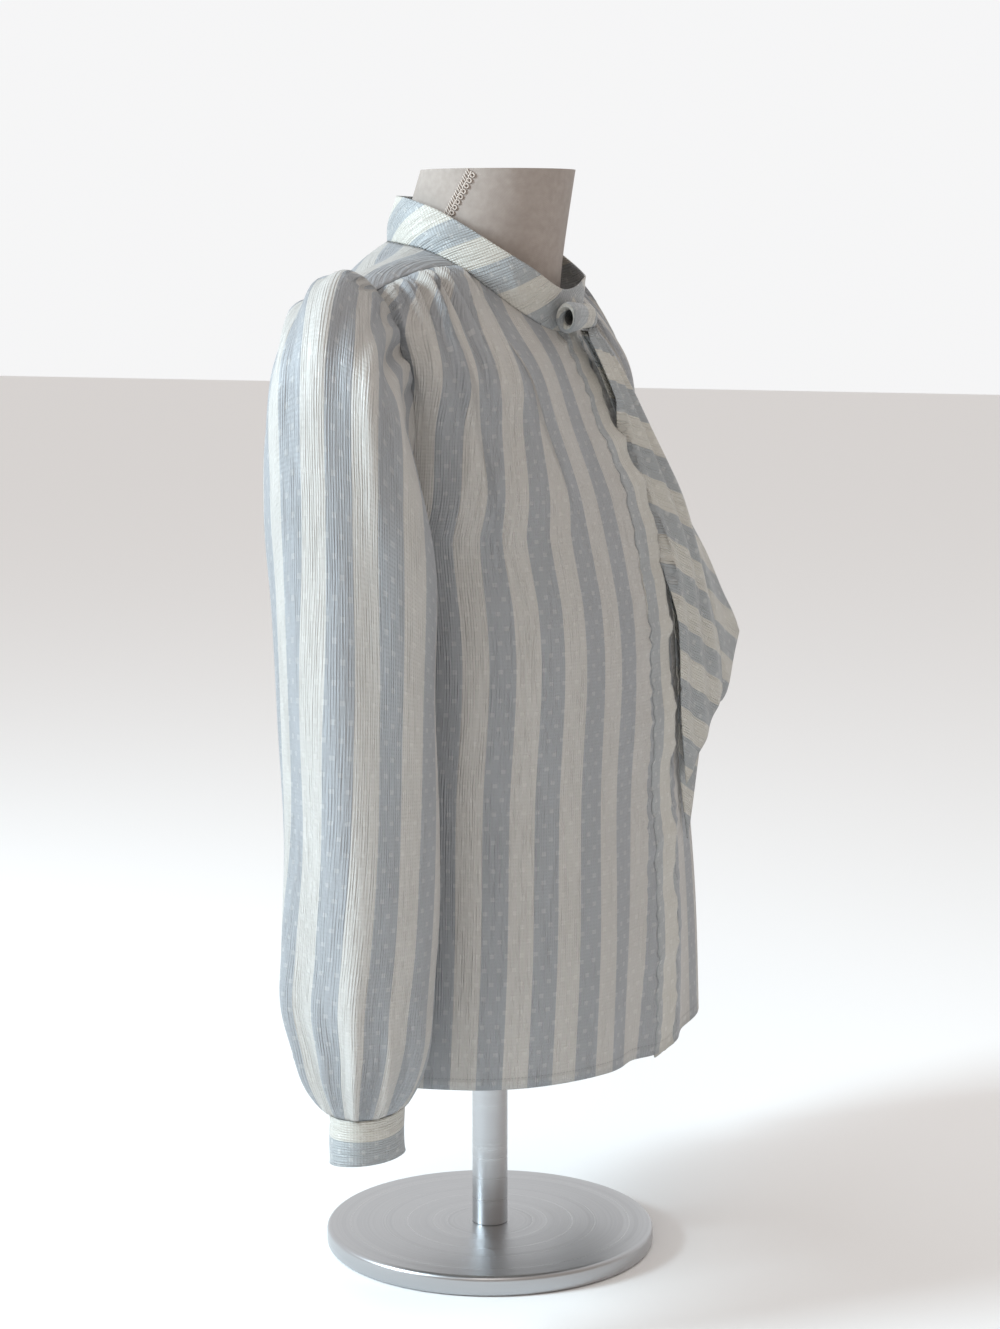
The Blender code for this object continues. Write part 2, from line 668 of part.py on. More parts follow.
def cuff_surface(place):
    """Centre of the right cuff's cloth, from its seam down; its lower edge isn't quite level."""
    heights = (CUFF_TOP, CUFF_TOP - CUFF_HEIGHT / 2, CUFF_TOP - CUFF_HEIGHT)
    rings = np.array([cuff_ring(place, height) for height in heights])
    rings[-1, :, 2] += CUFF_EDGE_WAVE * np.sin(2 * math.pi * (place - 0.1)) * np.sin(math.pi * place)
    return rings


def mirror(grid):
    """The same cloth on the wearer's left, with its columns turned round to keep the outside out."""
    return grid[:, ::-1] * np.array([-1.0, 1.0, 1.0])


class Cloth:
    """A grid of centre points that becomes a wall of cloth, with its outside along its normals."""

    def __init__(self, name, grid, thickness, material, seams=(), closed=False, flip=False):
        self.name = name
        self.seams = seams
        self.grid = np.array(grid)
        self.thickness = thickness
        self.material = material
        self.closed = closed
        normals = surface_normals(self.grid, closed)
        self.normals = -normals if flip else normals
        self.flip = flip
        self.mitred = self.normals.copy()
        self.stretch = np.ones(self.grid.shape[:2])

    def edges(self):
        """Grid places on the cloth's open edges."""
        rows, columns = self.grid.shape[:2]
        places = {(r, c) for r in (0, rows - 1) for c in range(columns)}
        if not self.closed:
            places |= {(r, c) for c in (0, columns - 1) for r in range(rows)}
        return sorted(places)

    def edge_segments(self):
        """Pairs of neighbouring grid places along the cloth's open edges."""
        rows, columns = self.grid.shape[:2]
        last = columns if self.closed else columns - 1
        pairs = [((r, c), (r, (c + 1) % columns)) for r in (0, rows - 1) for c in range(last)]
        if not self.closed:
            pairs += [((r, c), (r + 1, c)) for c in (0, columns - 1) for r in range(rows - 1)]
        return pairs

    def pull_in(self):
        """Moves the edges on seams back by half the seam's gap."""
        moved = self.grid.copy()
        for name in self.seams:
            row_side = name in ("start", "end")
            edge, inside = (0, 1) if name in ("start", "first") else (-1, -2)
            outer = self.grid[edge] if row_side else self.grid[:, edge]
            inner = self.grid[inside] if row_side else self.grid[:, inside]
            step = unit(inner - outer) * SEAM_GAP / 2
            if row_side:
                moved[edge] += step
            else:
                moved[:, edge] += step
        self.grid = moved

    def build(self):
        """Makes the wall's mesh: an outer layer, an inner layer and the rims between them."""
        rows, columns = self.grid.shape[:2]
        offset = self.mitred * (self.thickness / 2 * self.stretch)[..., None]
        outer = (self.grid + offset).reshape(-1, 3)
        inner = (self.grid - offset).reshape(-1, 3)
        count = rows * columns
        faces = []

        def at(row, column):
            return row * columns + column % columns

        last = columns if self.closed else columns - 1
        for row in range(rows - 1):
            for column in range(last):
                a, b = at(row, column), at(row, column + 1)
                c, d = at(row + 1, column + 1), at(row + 1, column)
                if np.linalg.norm(outer[a] - outer[c]) <= np.linalg.norm(outer[b] - outer[d]):
                    halves = ((a, b, c), (a, c, d))
                else:
                    halves = ((a, b, d), (b, c, d))
                for half in halves:
                    half = half[::-1] if self.flip else half
                    faces.append(half)
                    faces.append(tuple(count + k for k in half[::-1]))
        rims = [(at(0, c + 1), at(0, c)) for c in range(last)]
        rims += [(at(rows - 1, c), at(rows - 1, c + 1)) for c in range(last)]
        if not self.closed:
            rims += [(at(r, 0), at(r + 1, 0)) for r in range(rows - 1)]
            rims += [(at(r + 1, columns - 1), at(r, columns - 1)) for r in range(rows - 1)]
        for a, b in rims:
            quad = (a, b, count + b, count + a)
            faces.append(quad if not self.flip else tuple(reversed(quad)))
        return make_object(self.name, np.concatenate([outer, inner]), faces, self.material)


def mitre(cloths):
    """Turns the end faces of walls that meet at a seam into one shared plane."""
    starts, ends, start_normals, end_normals, owner = [], [], [], [], []
    for index, cloth in enumerate(cloths):
        for first, second in cloth.edge_segments():
            starts.append(cloth.grid[first])
            ends.append(cloth.grid[second])
            start_normals.append(cloth.normals[first])
            end_normals.append(cloth.normals[second])
            owner.append(index)
    starts, ends, owner = np.array(starts), np.array(ends), np.array(owner)
    start_normals, end_normals = np.array(start_normals), np.array(end_normals)
    along = ends - starts
    for index, cloth in enumerate(cloths):
        for place in cloth.edges():
            point = cloth.grid[place]
            share = np.sum((point - starts) * along, axis=1) / np.maximum(np.sum(along**2, axis=1), 1e-12)
            share = np.clip(share, 0, 1)[:, None]
            apart = np.linalg.norm(starts + along * share - point, axis=1)
            facing = [cloth.normals[place]]
            for other in range(len(cloths)):
                distance = np.where((owner == other) & (other != index), apart, np.inf)
                near = int(np.argmin(distance))
                if distance[near] > SEAM_REACH:
                    continue
                normal = unit(start_normals[near] * (1 - share[near]) + end_normals[near] * share[near])
                if max(float(normal @ known) for known in facing) < SAME_FACING:
                    facing.append(normal)
            shared = unit(np.sum(facing, axis=0))
            cloth.mitred[place] = shared
            cloth.stretch[place] = min(MITRE_LIMIT, 1 / max(0.5, float(shared @ cloth.normals[place])))


def loft(name, rings, material):
    """A closed solid through rings, with flat ends."""
    rings = np.array(rings)
    rows, columns = rings.shape[:2]
    faces = []
    for row in range(rows - 1):
        for column in range(columns):
            after = (column + 1) % columns
            faces.append(
                (
                    row * columns + column,
                    row * columns + after,
                    (row + 1) * columns + after,
                    (row + 1) * columns + column,
                )
            )
    faces.append(tuple(reversed(range(columns))))
    faces.append(tuple((rows - 1) * columns + c for c in range(columns)))
    return make_object(name, rings.reshape(-1, 3), faces, material)


def form_ring(section, segments):
    """One section of the dress form, counter-clockwise from the front."""
    z_front, z_side, z_back, half_width, front_y, back_y, square = section
    angle = 2 * math.pi * np.arange(segments) / segments
    sin, cos = np.sin(angle), np.cos(angle)
    across = np.sign(sin) * np.abs(sin) ** (2 / square)
    along = np.sign(cos) * np.abs(cos) ** (2 / square)
    centre = (front_y + back_y) / 2
    depth = (back_y - front_y) / 2
    x = half_width * across
    y = centre - depth * along
    z_end = np.where(cos > 0, z_front, z_back)
    z = z_side + (z_end - z_side) * cos**2
    return np.stack([x, y, z], axis=-1)


def braid_surface():
    """Centre of the braid that runs down the neck of the form on the wearer's right."""
    rings = np.array([form_ring(section, FORM_SEGMENTS) for section in FORM_SECTIONS])
    count = FORM_SEGMENTS
    faces = [
        (row * count + c, row * count + (c + 1) % count, (row + 1) * count + (c + 1) % count, (row + 1) * count + c)
        for row in range(len(rings) - 1)
        for c in range(count)
    ]
    tree = BVHTree.FromPolygons([tuple(map(float, p)) for p in rings.reshape(-1, 3)], faces)
    (top_y, top_z), (low_y, low_z) = BRAID_TOP, BRAID_LOW
    grid = np.empty((BRAID_ROWS + 1, 3, 3))
    for row in range(BRAID_ROWS + 1):
        share = row / BRAID_ROWS
        for column in range(3):
            y = top_y + (low_y - top_y) * share + (column - 1) * BRAID_WIDTH / 2
            z = top_z + (low_z - top_z) * share
            hit = tree.ray_cast(Vector((-1.0, y, z)), Vector((1.0, 0.0, 0.0)))[0]
            grid[row, column] = (hit.x - BRAID_LIFT, y, z)
    return grid


def disc_rings(radii_heights, segments=32):
    """Rings of a turned shape about the Z axis."""
    angle = 2 * math.pi * np.arange(segments) / segments
    return [
        np.stack([r * np.cos(angle), r * np.sin(angle), np.full(segments, z)], axis=-1)
        for r, z in radii_heights
    ]


def build_form(linen, steel):
    """The dress form, its pole and the round stand."""
    sections = np.array(FORM_SECTIONS)
    rings = [form_ring(section, FORM_SEGMENTS) for section in sections]
    loft("form_torso", rings, linen)
    bottom = FORM_SECTIONS[0][0]
    loft("stand_pole", disc_rings([(POLE_RADIUS, BASE_HEIGHT + SOCKET_GAP), (POLE_RADIUS, bottom - SOCKET_GAP)], 20), steel)
    edge = 0.004
    base = [
        (BASE_RADIUS - edge, 0.0),
        (BASE_RADIUS, edge),
        (BASE_RADIUS, BASE_HEIGHT - edge),
        (BASE_RADIUS - edge, BASE_HEIGHT),
    ]
    loft("stand_base", disc_rings(base), steel)


def collar_surface(under, rows):
    """Centre of the collar band: columns run round it from the middle front, rows up."""
    shares = chord_knots(np.concatenate([under, under[:1]]))
    shares = shares[:-1] / shares[-1]
    top = np.array(COLLAR_TOP + COLLAR_TOP[:1])
    around = np.concatenate([top[-4:-1], top, top[1:4]])
    knots = chord_knots(around)
    over = spline(knots, around, np.linspace(knots[3], knots[-4], 200))
    over = even(over, shares)
    up = np.linspace(0, 1, rows + 1)[:, None, None]
    grid = under[None] * (1 - up) + over[None] * up
    outward = unit((under - np.array([0.0, 0.004, 0.0])) * np.array([1.0, 1.0, 0.0]))
    return grid + outward[None] * COLLAR_BELLY * 4 * up * (1 - up)


def knot_rings(count):
    """Outer and inner rings of the knot's roll."""
    angle = 2 * math.pi * np.arange(count) / count
    outer, inner = [], []
    for x, y, z, depth, height, hole in KNOT_SECTIONS:
        for rings, share in ((outer, 1.0), (inner, hole)):
            rings.append(
                np.stack(
                    [
                        np.full(count, x),
                        y + depth * share * np.cos(angle),
                        z + height * share * np.sin(angle),
                    ],
                    axis=-1,
                )
            )
    return np.array(outer), np.array(inner)


def tuck_under_knot(grid):
    """Brings the first row of a tail up to the underside of the knot."""
    sections = np.array(KNOT_SECTIONS)
    x, y = grid[0, :, 0], grid[0, :, 1]
    middle_y, middle_z, depth, height = (np.interp(x, sections[:, 0], sections[:, k]) for k in (1, 2, 3, 4))
    across = np.clip((y - middle_y) / depth, -0.9, 0.9)
    grid[0, :, 2] = middle_z - height * np.sqrt(1 - across**2) - KNOT_SEAT
    return grid


def build_knot(material, count=16):
    """A roll with a hole that opens to the wearer's right."""
    outer, inner = knot_rings(count)
    rows = len(outer)
    points = np.concatenate([outer.reshape(-1, 3), inner[:-1].reshape(-1, 3)])
    start = rows * count
    faces = []
    for row in range(rows - 1):
        for k in range(count):
            after = (k + 1) % count
            faces.append((row * count + k, row * count + after, (row + 1) * count + after, (row + 1) * count + k))
    for row in range(rows - 2):
        for k in range(count):
            after = (k + 1) % count
            here, there = start + row * count, start + (row + 1) * count
            faces.append((here + after, here + k, there + k, there + after))
    for k in range(count):
        after = (k + 1) % count
        faces.append((after, k, start + k, start + after))
    floor = start + (rows - 2) * count
    faces.append(tuple(reversed([floor + k for k in range(count)])))
    faces.append(tuple((rows - 1) * count + k for k in range(count)))
    return make_object("tie_knot", points, faces, material)


def tail_surface(table, flutes, columns, rows, hollow=0.0):
    """Centre of a tail of the tie, from the knot down; its end may be folded up between its corners."""
    table = np.array(table)
    edges = table.reshape(len(table), 2, 3)
    middle = edges.mean(axis=1)
    knots = chord_knots(middle)
    lines = spline(knots, edges, np.linspace(0, knots[-1], rows + 1))
    across = np.linspace(0, 1, columns + 1)[None, :, None]
    grid = lines[:, :1] * (1 - across) + lines[:, 1:] * across
    normals = surface_normals(grid)
    normals = np.where(normals[..., 1:2] > 0, -normals, normals)
    place = np.linspace(0, 1, columns + 1)[None, :]
    down = np.linspace(0, 1, rows + 1)[:, None]
    lift = np.zeros((rows + 1, columns + 1))
    for centre, half_width, height in flutes:
        lift += height * bump(place - centre, half_width) * (0.35 + 0.65 * np.sin(math.pi * (0.15 + 0.75 * down)))
    grid = grid + normals * lift[..., None]
    grid[..., 2] += hollow * down**3 * bump(place - FAR_END_PLACE, FAR_END_WIDTH)
    return grid


def widened(grid, margin):
    """A grid with a strip added all round, so that what lies over its edges clears them too."""
    wide = np.concatenate([grid[:, :1], grid, grid[:, -1:]], axis=1)
    wide[:, 0] += unit(grid[:, 0] - grid[:, 1]) * margin
    wide[:, -1] += unit(grid[:, -1] - grid[:, -2]) * margin
    tall = np.concatenate([wide, wide[-1:]], axis=0)
    tall[-1] += unit(wide[-1] - wide[-2]) * margin
    return tall


def rest_on(grid, panels, clearance):
    """Brings a grid forward wherever it would lie closer than the clearance to the panels behind it."""
    points, faces = [], []
    for panel in panels:
        rows, columns = panel.shape[:2]
        start = len(points)
        points += [tuple(map(float, p)) for p in panel.reshape(-1, 3)]
        for row in range(rows - 1):
            for column in range(columns - 1):
                corner = start + row * columns + column
                faces.append((corner, corner + 1, corner + columns + 1, corner + columns))
    tree = BVHTree.FromPolygons(points, faces)
    moved = grid.copy()
    for place in np.ndindex(grid.shape[:2]):
        x, _, z = grid[place]
        hit = tree.ray_cast(Vector((x, -1.0, z)), Vector((0.0, 1.0, 0.0)))[0]
        if hit is not None:
            moved[place][1] = min(moved[place][1], hit.y - clearance)
    return moved


def build_button(name, side, back, material):
    """A small domed button on the cuff's inner side."""
    x = -side * (CUFF_CENTRE[0] + CUFF_HALF_WIDTH + DOUBLE_CLOTH / 2 + SEAM_GAP)
    y = CUFF_CENTRE[1] + back
    z = CUFF_TOP - CUFF_HEIGHT / 2
    angle = 2 * math.pi * np.arange(14) / 14
    rings = []
    for radius, out in ((1.0, 0.0), (1.0, 0.55), (0.82, 1.0)):
        r, depth = radius * BUTTON_RADIUS, out * BUTTON_THICKNESS
        rings.append(
            np.stack(
                [np.full(14, x - side * depth), y + r * np.cos(angle), z + r * np.sin(angle)],
                axis=-1,
            )
        )
    if side < 0:
        rings = [ring[::-1] for ring in rings]
    loft(name, [ring[::-1] for ring in rings], material)


def main():
    clear_scene()
    cream = make_material("striped_crepe_satin", "cream", 0.45)
    blue = make_material("striped_crepe_satin_bias", "silver_blue", 0.45)
    linen = make_material("linen_cover", "linen", 0.9)
    gimp = make_material("gimp_braid", "linen", 0.7)
    steel = make_material("brushed_steel", "steel", 0.35, metallic=1.0)
    button = make_material("covered_button", "button", 0.4)

    front_rows, back_rows = body_rows(True), body_rows(False)
    panel_start = PLACKET_WIDTH - OVERLAP + SEAM_GAP
    crests = sorted(fold[0] for fold in FRONT_FOLDS if fold[0] > 0.5)
    valleys = [(a + b) / 2 for a, b in zip(crests, crests[1:])]
    seam_places = sorted([0.5, (0.5 + crests[0]) / 2, 1.0] + crests + valleys)
    front_widths = np.concatenate(
        [
            np.linspace(panel_start, FRONT_WIDTH / 2, NECK_COLUMNS + 1)[:-1],
            np.array(seam_places) * FRONT_WIDTH,
        ]
    )
    placket_widths = np.linspace(-OVERLAP, PLACKET_WIDTH - OVERLAP, PLACKET_COLUMNS + 1)
    back_widths = np.linspace(-BACK_WIDTH, BACK_WIDTH, 2 * BACK_COLUMNS + 1)

    right_front = front_surface(front_widths, front_rows)
    left_front = front_surface(front_widths, front_rows, LAP_DEPTH, LEFT_PHASE, LEFT_PULL)
    right_placket = front_surface(placket_widths, front_rows)
    left_placket = mirror(front_surface(placket_widths, front_rows, LAP_DEPTH, LEFT_PHASE, LEFT_PULL))
    back = back_surface(back_widths, back_rows)
    join_side(right_front, back)
    other_side = mirror(back)
    join_side(left_front, other_side)
    back = mirror(other_side)
    left_front = mirror(left_front)
    yoke = yoke_surface(YOKE_ARMHOLE_COLUMNS, BACK_COLUMNS, YOKE_ROWS)
    loop = armhole_loop(right_front, yoke, back)
    right_sleeve, place = sleeve_surface(loop, SLEEVE_ROWS)
    left_sleeve, _ = sleeve_surface(loop, SLEEVE_ROWS, 0.4, LEFT_SLEEVE_BACK)
    left_sleeve = mirror(left_sleeve)
    cuff = cuff_surface(place[::2])
    left_cuff = mirror(cuff + np.array([0.0, LEFT_SLEEVE_BACK, 0.0]))
    on_front = np.concatenate([neckline(np.zeros(1)), right_front[-1, : NECK_COLUMNS + 1]])
    right_neck = np.concatenate([on_front, yoke[0, 1 : (yoke.shape[1] + 1) // 2]])
    left_neck = right_neck[1:-1][::-1] * np.array([-1.0, 1.0, 1.0])
    collar = collar_surface(np.concatenate([right_neck, left_neck]), COLLAR_ROWS)

    cloths = [
        Cloth("right_front", right_front, CLOTH, cream, ("end", "last"), flip=True),
        Cloth("left_front", left_front, CLOTH, cream, ("end", "first"), flip=True),
        Cloth("right_placket", right_placket, DOUBLE_CLOTH, cream, ("end",), flip=True),
        Cloth("left_placket", left_placket, DOUBLE_CLOTH, cream, ("end",), flip=True),
        Cloth("back_panel", back, CLOTH, cream, ("end", "first", "last"), flip=True),
        Cloth("yoke", yoke, CLOTH, blue, ("start", "end", "first", "last")),
        Cloth("right_sleeve", right_sleeve, CLOTH, cream, ("start", "end"), closed=True),
        Cloth("left_sleeve", left_sleeve, CLOTH, cream, ("start", "end"), closed=True),
        Cloth("right_cuff", cuff, DOUBLE_CLOTH, blue, ("start",), closed=True),
        Cloth("left_cuff", left_cuff, DOUBLE_CLOTH, blue, ("start",), closed=True),
        Cloth("collar_band", collar, DOUBLE_CLOTH, blue, ("start",), closed=True, flip=True),
    ]
    mitre(cloths)
    for cloth in cloths:
        cloth.pull_in()
        cloth.build()
    fronts = [right_front, right_placket, left_front, left_placket]
    far_tail = rest_on(tail_surface(FAR_TAIL, FAR_FLUTES, 9, 14, FAR_END_HOLLOW), fronts, TAIL_CLEARANCE)
    far_tail = tuck_under_knot(far_tail)
    behind = fronts + [widened(far_tail, TAIL_MARGIN)]
    near_tail = rest_on(tail_surface(NEAR_TAIL, NEAR_FLUTES, 9, 14), behind, TAIL_CLEARANCE)
    near_tail = tuck_under_knot(near_tail)
    Cloth("tie_tail_far", far_tail, TAIL_THICKNESS, blue).build()
    Cloth("tie_tail_near", near_tail, TAIL_THICKNESS, blue).build()
    build_knot(blue)
    build_button("right_cuff_button", -1, 0.0, button)
    build_button("left_cuff_button", 1, LEFT_SLEEVE_BACK, button)
    build_form(linen, steel)
    Cloth("neck_braid", braid_surface(), BRAID_THICKNESS, gimp).build()


main()
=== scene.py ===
"""Tie neck blouse in striped crepe satin, on a linen covered dress form.

Sizes are in metres, +Z is up and the blouse faces -Y. Each piece of cloth is a fine sheet on the same
surface as its solid, with its gathers, creases and puckers, and carries its own woven coordinates:
u runs across the stripes and v along them, so the stripes follow the cut of each piece.
"""

import math

import bpy
import numpy as np
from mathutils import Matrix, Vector
from mathutils.bvhtree import BVHTree

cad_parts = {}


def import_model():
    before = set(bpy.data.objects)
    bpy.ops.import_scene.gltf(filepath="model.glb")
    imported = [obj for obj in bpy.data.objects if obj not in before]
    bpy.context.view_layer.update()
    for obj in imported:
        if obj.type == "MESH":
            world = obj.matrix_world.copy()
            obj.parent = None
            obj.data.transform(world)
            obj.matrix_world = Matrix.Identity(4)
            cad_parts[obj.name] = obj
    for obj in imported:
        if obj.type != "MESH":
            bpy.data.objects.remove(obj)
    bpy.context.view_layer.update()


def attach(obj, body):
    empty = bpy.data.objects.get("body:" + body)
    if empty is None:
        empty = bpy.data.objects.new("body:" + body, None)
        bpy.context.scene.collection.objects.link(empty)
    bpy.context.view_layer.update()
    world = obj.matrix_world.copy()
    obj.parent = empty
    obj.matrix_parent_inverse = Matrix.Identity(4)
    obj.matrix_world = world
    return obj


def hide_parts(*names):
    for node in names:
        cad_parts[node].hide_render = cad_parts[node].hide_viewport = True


# Cloth thickness, in the single panels and where the cloth is double
CLOTH = 0.0005
DOUBLE_CLOTH = 0.0010
SEAM_GAP = 0.0006
FRONT_WIDTH = 0.273
BACK_WIDTH = 0.262
OVERLAP = 0.015
PLACKET_WIDTH = 0.039
LAP_DEPTH = 0.0032
STRIPE = 0.0195
SLEEVE_WIDTH = 0.351

# Level sections of the body up to the underarm
BODY_SECTIONS = (
    # height, half width, front depth, back depth, side seam y, squareness
    (0.181, 0.197, 0.1450, 0.126, 0.012, 2.75),
    (0.270, 0.191, 0.1460, 0.123, 0.015, 2.6),
    (0.385, 0.184, 0.1415, 0.114, 0.020, 2.45),
    (0.500, 0.179, 0.1385, 0.111, 0.026, 2.4),
    (0.565, 0.175, 0.1260, 0.113, 0.030, 2.4),
)
# Sections of the front from the underarm to the neckline; the edge is the armhole
FRONT_CHEST = (
    # middle y, middle z, edge x, edge y, edge z, squareness
    (-0.1135, 0.605, 0.1700, 0.002, 0.603, 2.35),
    (-0.0925, 0.655, 0.1665, -0.012, 0.655, 2.25),
    (-0.0735, 0.704, 0.1725, -0.004, 0.712, 2.10),
)
# Sections of the back from the underarm to the yoke seam
BACK_BLADE = (
    # middle y, middle z, edge x, edge y, edge z, squareness
    (0.1140, 0.607, 0.1710, 0.0500, 0.605, 2.4),
    (0.1140, 0.655, 0.1665, 0.0680, 0.653, 2.45),
    (0.1100, 0.701, 0.1680, 0.0780, 0.702, 2.5),
)
# Neckline of the wearer's right half, from the middle front to the middle back
NECKLINE = (
    # x, y, z
    (0.000, -0.0650, 0.7230),
    (-0.030, -0.0605, 0.7255),
    (-0.052, -0.0470, 0.7380),
    (-0.066, -0.0250, 0.7570),
    (-0.070, -0.0035, 0.7725),
    (-0.069, 0.0200, 0.7830),
    (-0.058, 0.0480, 0.7885),
    (-0.034, 0.0700, 0.7905),
    (0.000, 0.0770, 0.7910),
)
YOKE_FRONT_STATION = 4
# Outer edge of the yoke over the shoulder, from the front seam to the back seam
YOKE_ARMHOLE = (
    # x, y, z
    (-0.182, 0.0095, 0.7555),
    (-0.187, 0.0280, 0.7615),
    (-0.186, 0.0480, 0.7540),
    (-0.179, 0.0660, 0.7330),
    (-0.168, 0.0780, 0.7020),
)
YOKE_ARMHOLE_SHARE = 0.42
YOKE_SHOULDER_CROWN = 0.004
YOKE_BACK_CROWN = 0.013

# Folds of the front that fan out from the yoke seam and the neckline
FRONT_FOLDS = (
    # place across the panel, half width, height, reach below the seam
    (0.955, 0.016, 0.0024, 0.120),
    (0.900, 0.018, 0.0042, 0.230),
    (0.845, 0.016, 0.0034, 0.150),
    (0.790, 0.018, 0.0046, 0.270),
    (0.735, 0.016, 0.0034, 0.130),
    (0.680, 0.018, 0.0046, 0.250),
    (0.625, 0.016, 0.0032, 0.120),
    (0.570, 0.018, 0.0040, 0.200),
    (0.450, 0.030, 0.0026, 0.160),
    (0.310, 0.034, 0.0022, 0.180),
)
# Folds of the back, from its yoke seam
BACK_FOLDS = (
    # place across the half panel, half width, height, reach below the seam
    (0.06, 0.030, 0.0040, 0.260),
    (0.19, 0.026, 0.0036, 0.170),
    (0.31, 0.028, 0.0044, 0.240),
    (0.44, 0.026, 0.0034, 0.150),
    (0.57, 0.028, 0.0042, 0.220),
    (0.70, 0.025, 0.0032, 0.140),
    (0.83, 0.027, 0.0030, 0.160),
)
GATHER_RISE = 0.016
# Pleats that the yoke seam folds into the front
YOKE_PLEATS = (
    # distance from the front edge, how far it leans to the front, cloth taken up, reach below the seam
    (0.126, 0.10, 0.036, 0.190),
    (0.178, 0.00, 0.018, 0.240),
)
# Ease of the front's lower part that its loose folds take up
HEM_FLARE = 0.094
HEM_FLARE_START = 0.0065
HEM_DIP = 0.009
HEM_DIP_WIDTH = 0.120
LEFT_HEM_DIP = 0.012
LEFT_HEM_DIP_WIDTH = 0.140
HEM_DIP_REACH = 0.060
LEFT_PULL = 0.25
LEFT_PHASE = 0.95
SWAY_HEIGHT = 0.0035
# Waves where the placket's stitching pulls
PLACKET_WAVES = (
    # height, half length, lift
    (0.205, 0.022, 0.0015),
    (0.262, 0.030, 0.0035),
    (0.338, 0.020, 0.0022),
    (0.424, 0.024, 0.0050),
    (0.520, 0.026, 0.0030),
    (0.600, 0.046, 0.0052),
    (0.572, 0.013, 0.0022),
    (0.606, 0.012, 0.0024),
    (0.640, 0.012, 0.0022),
    (0.674, 0.012, 0.0018),
)

# Rings of the sleeve below the armhole
SLEEVE_RINGS = (
    # centre x, centre y, half width, half depth, z inside, z outside, squareness
    (-0.2290, 0.0160, 0.0365, 0.0500, 0.546, 0.7200, 2.1),
    (-0.2350, 0.0115, 0.0445, 0.0550, 0.520, 0.6400, 2.2),
    (-0.2360, 0.0060, 0.0460, 0.0560, 0.485, 0.5600, 2.2),
    (-0.2370, 0.0015, 0.0460, 0.0555, 0.445, 0.4670, 2.2),
    (-0.2400, -0.0040, 0.0460, 0.0542, 0.368, 0.3680, 2.2),
    (-0.2440, -0.0040, 0.0460, 0.0555, 0.300, 0.2960, 2.2),
    (-0.2475, -0.0045, 0.0465, 0.0545, 0.258, 0.2560, 2.2),
    (-0.2500, -0.0083, 0.0445, 0.0495, 0.230, 0.2290, 2.1),
    (-0.2520, -0.0105, 0.0415, 0.0400, 0.204, 0.2035, 2.1),
)
CAP_OUT = 0.020
CAP_OUT_UNDERARM = 0.010
CAP_DROP = 0.006
CAP_TUCK = 0.006
# Gathers at the top of the sleeve; place runs from the underarm by the front, and 0.5 is the shoulder
CAP_FOLDS = (
    # place, half width, height, reach
    (0.275, 0.016, 0.0026, 0.080),
    (0.330, 0.015, 0.0036, 0.120),
    (0.385, 0.014, 0.0044, 0.170),
    (0.435, 0.013, 0.0040, 0.110),
    (0.485, 0.014, 0.0050, 0.210),
    (0.535, 0.013, 0.0042, 0.120),
    (0.585, 0.014, 0.0042, 0.260),
    (0.635, 0.014, 0.0032, 0.130),
    (0.690, 0.015, 0.0030, 0.230),
    (0.745, 0.016, 0.0022, 0.110),
)
# Gathers above the cuff
CUFF_FOLDS = (
    # place, half width, height, reach
    (0.030, 0.020, 0.0050, 0.090),
    (0.115, 0.021, 0.0066, 0.140),
    (0.200, 0.017, 0.0064, 0.110),
    (0.285, 0.019, 0.0078, 0.180),
    (0.370, 0.016, 0.0066, 0.110),
    (0.455, 0.019, 0.0086, 0.230),
    (0.540, 0.017, 0.0072, 0.130),
    (0.625, 0.019, 0.0088, 0.260),
    (0.710, 0.016, 0.0068, 0.120),
    (0.795, 0.019, 0.0078, 0.190),
    (0.880, 0.018, 0.0060, 0.110),
    (0.960, 0.018, 0.0050, 0.090),
)
# The cuff's gathers pull the sleeve in between them
CUFF_PULL = 0.0060
SLEEVE_WAVE = 0.0036
FRONT_FULLNESS = 0.012
# The sleeve's grain turns a little round the arm on its way down
SLEEVE_TWIST = 0.0160
SLEEVE_TWIST_RATE = 0.067
LEFT_SLEEVE_BACK = 0.018
CAP_BACK_SHARE = 0.9
# Stripes of the sleeve: a cream one is centred here
SLEEVE_CREAM = 0.436

# Cuff
CUFF_CENTRE = (-0.252, -0.0125)
CUFF_HALF_WIDTH = 0.0340
CUFF_HALF_DEPTH = 0.0230
CUFF_TOP = 0.1815
CUFF_HEIGHT = 0.0355
CUFF_EDGE_WAVE = 0.0030
CUFF_CREAM = 0.0160
BUTTON_RADIUS = 0.0052
BUTTON_THICKNESS = 0.0022

# Collar band: its upper edge, from the middle front round by the right, the back and the left
COLLAR_TOP = (
    # x, y, z
    (0.000, -0.0670, 0.7555),
    (-0.022, -0.0665, 0.7555),
    (-0.050, -0.0530, 0.7720),
    (-0.0605, -0.0330, 0.7860),
    (-0.0625, -0.0080, 0.8010),
    (-0.0610, 0.0150, 0.8130),
    (-0.0530, 0.0430, 0.8220),
    (-0.0310, 0.0630, 0.8245),
    (0.000, 0.0690, 0.8250),
    (0.0310, 0.0640, 0.8240),
    (0.0530, 0.0430, 0.8200),
    (0.0615, 0.0150, 0.8090),
    (0.0640, -0.0080, 0.7960),
    (0.0630, -0.0330, 0.7810),
    (0.0540, -0.0540, 0.7670),
    (0.0260, -0.0655, 0.7620),
)
COLLAR_BELLY = 0.0020

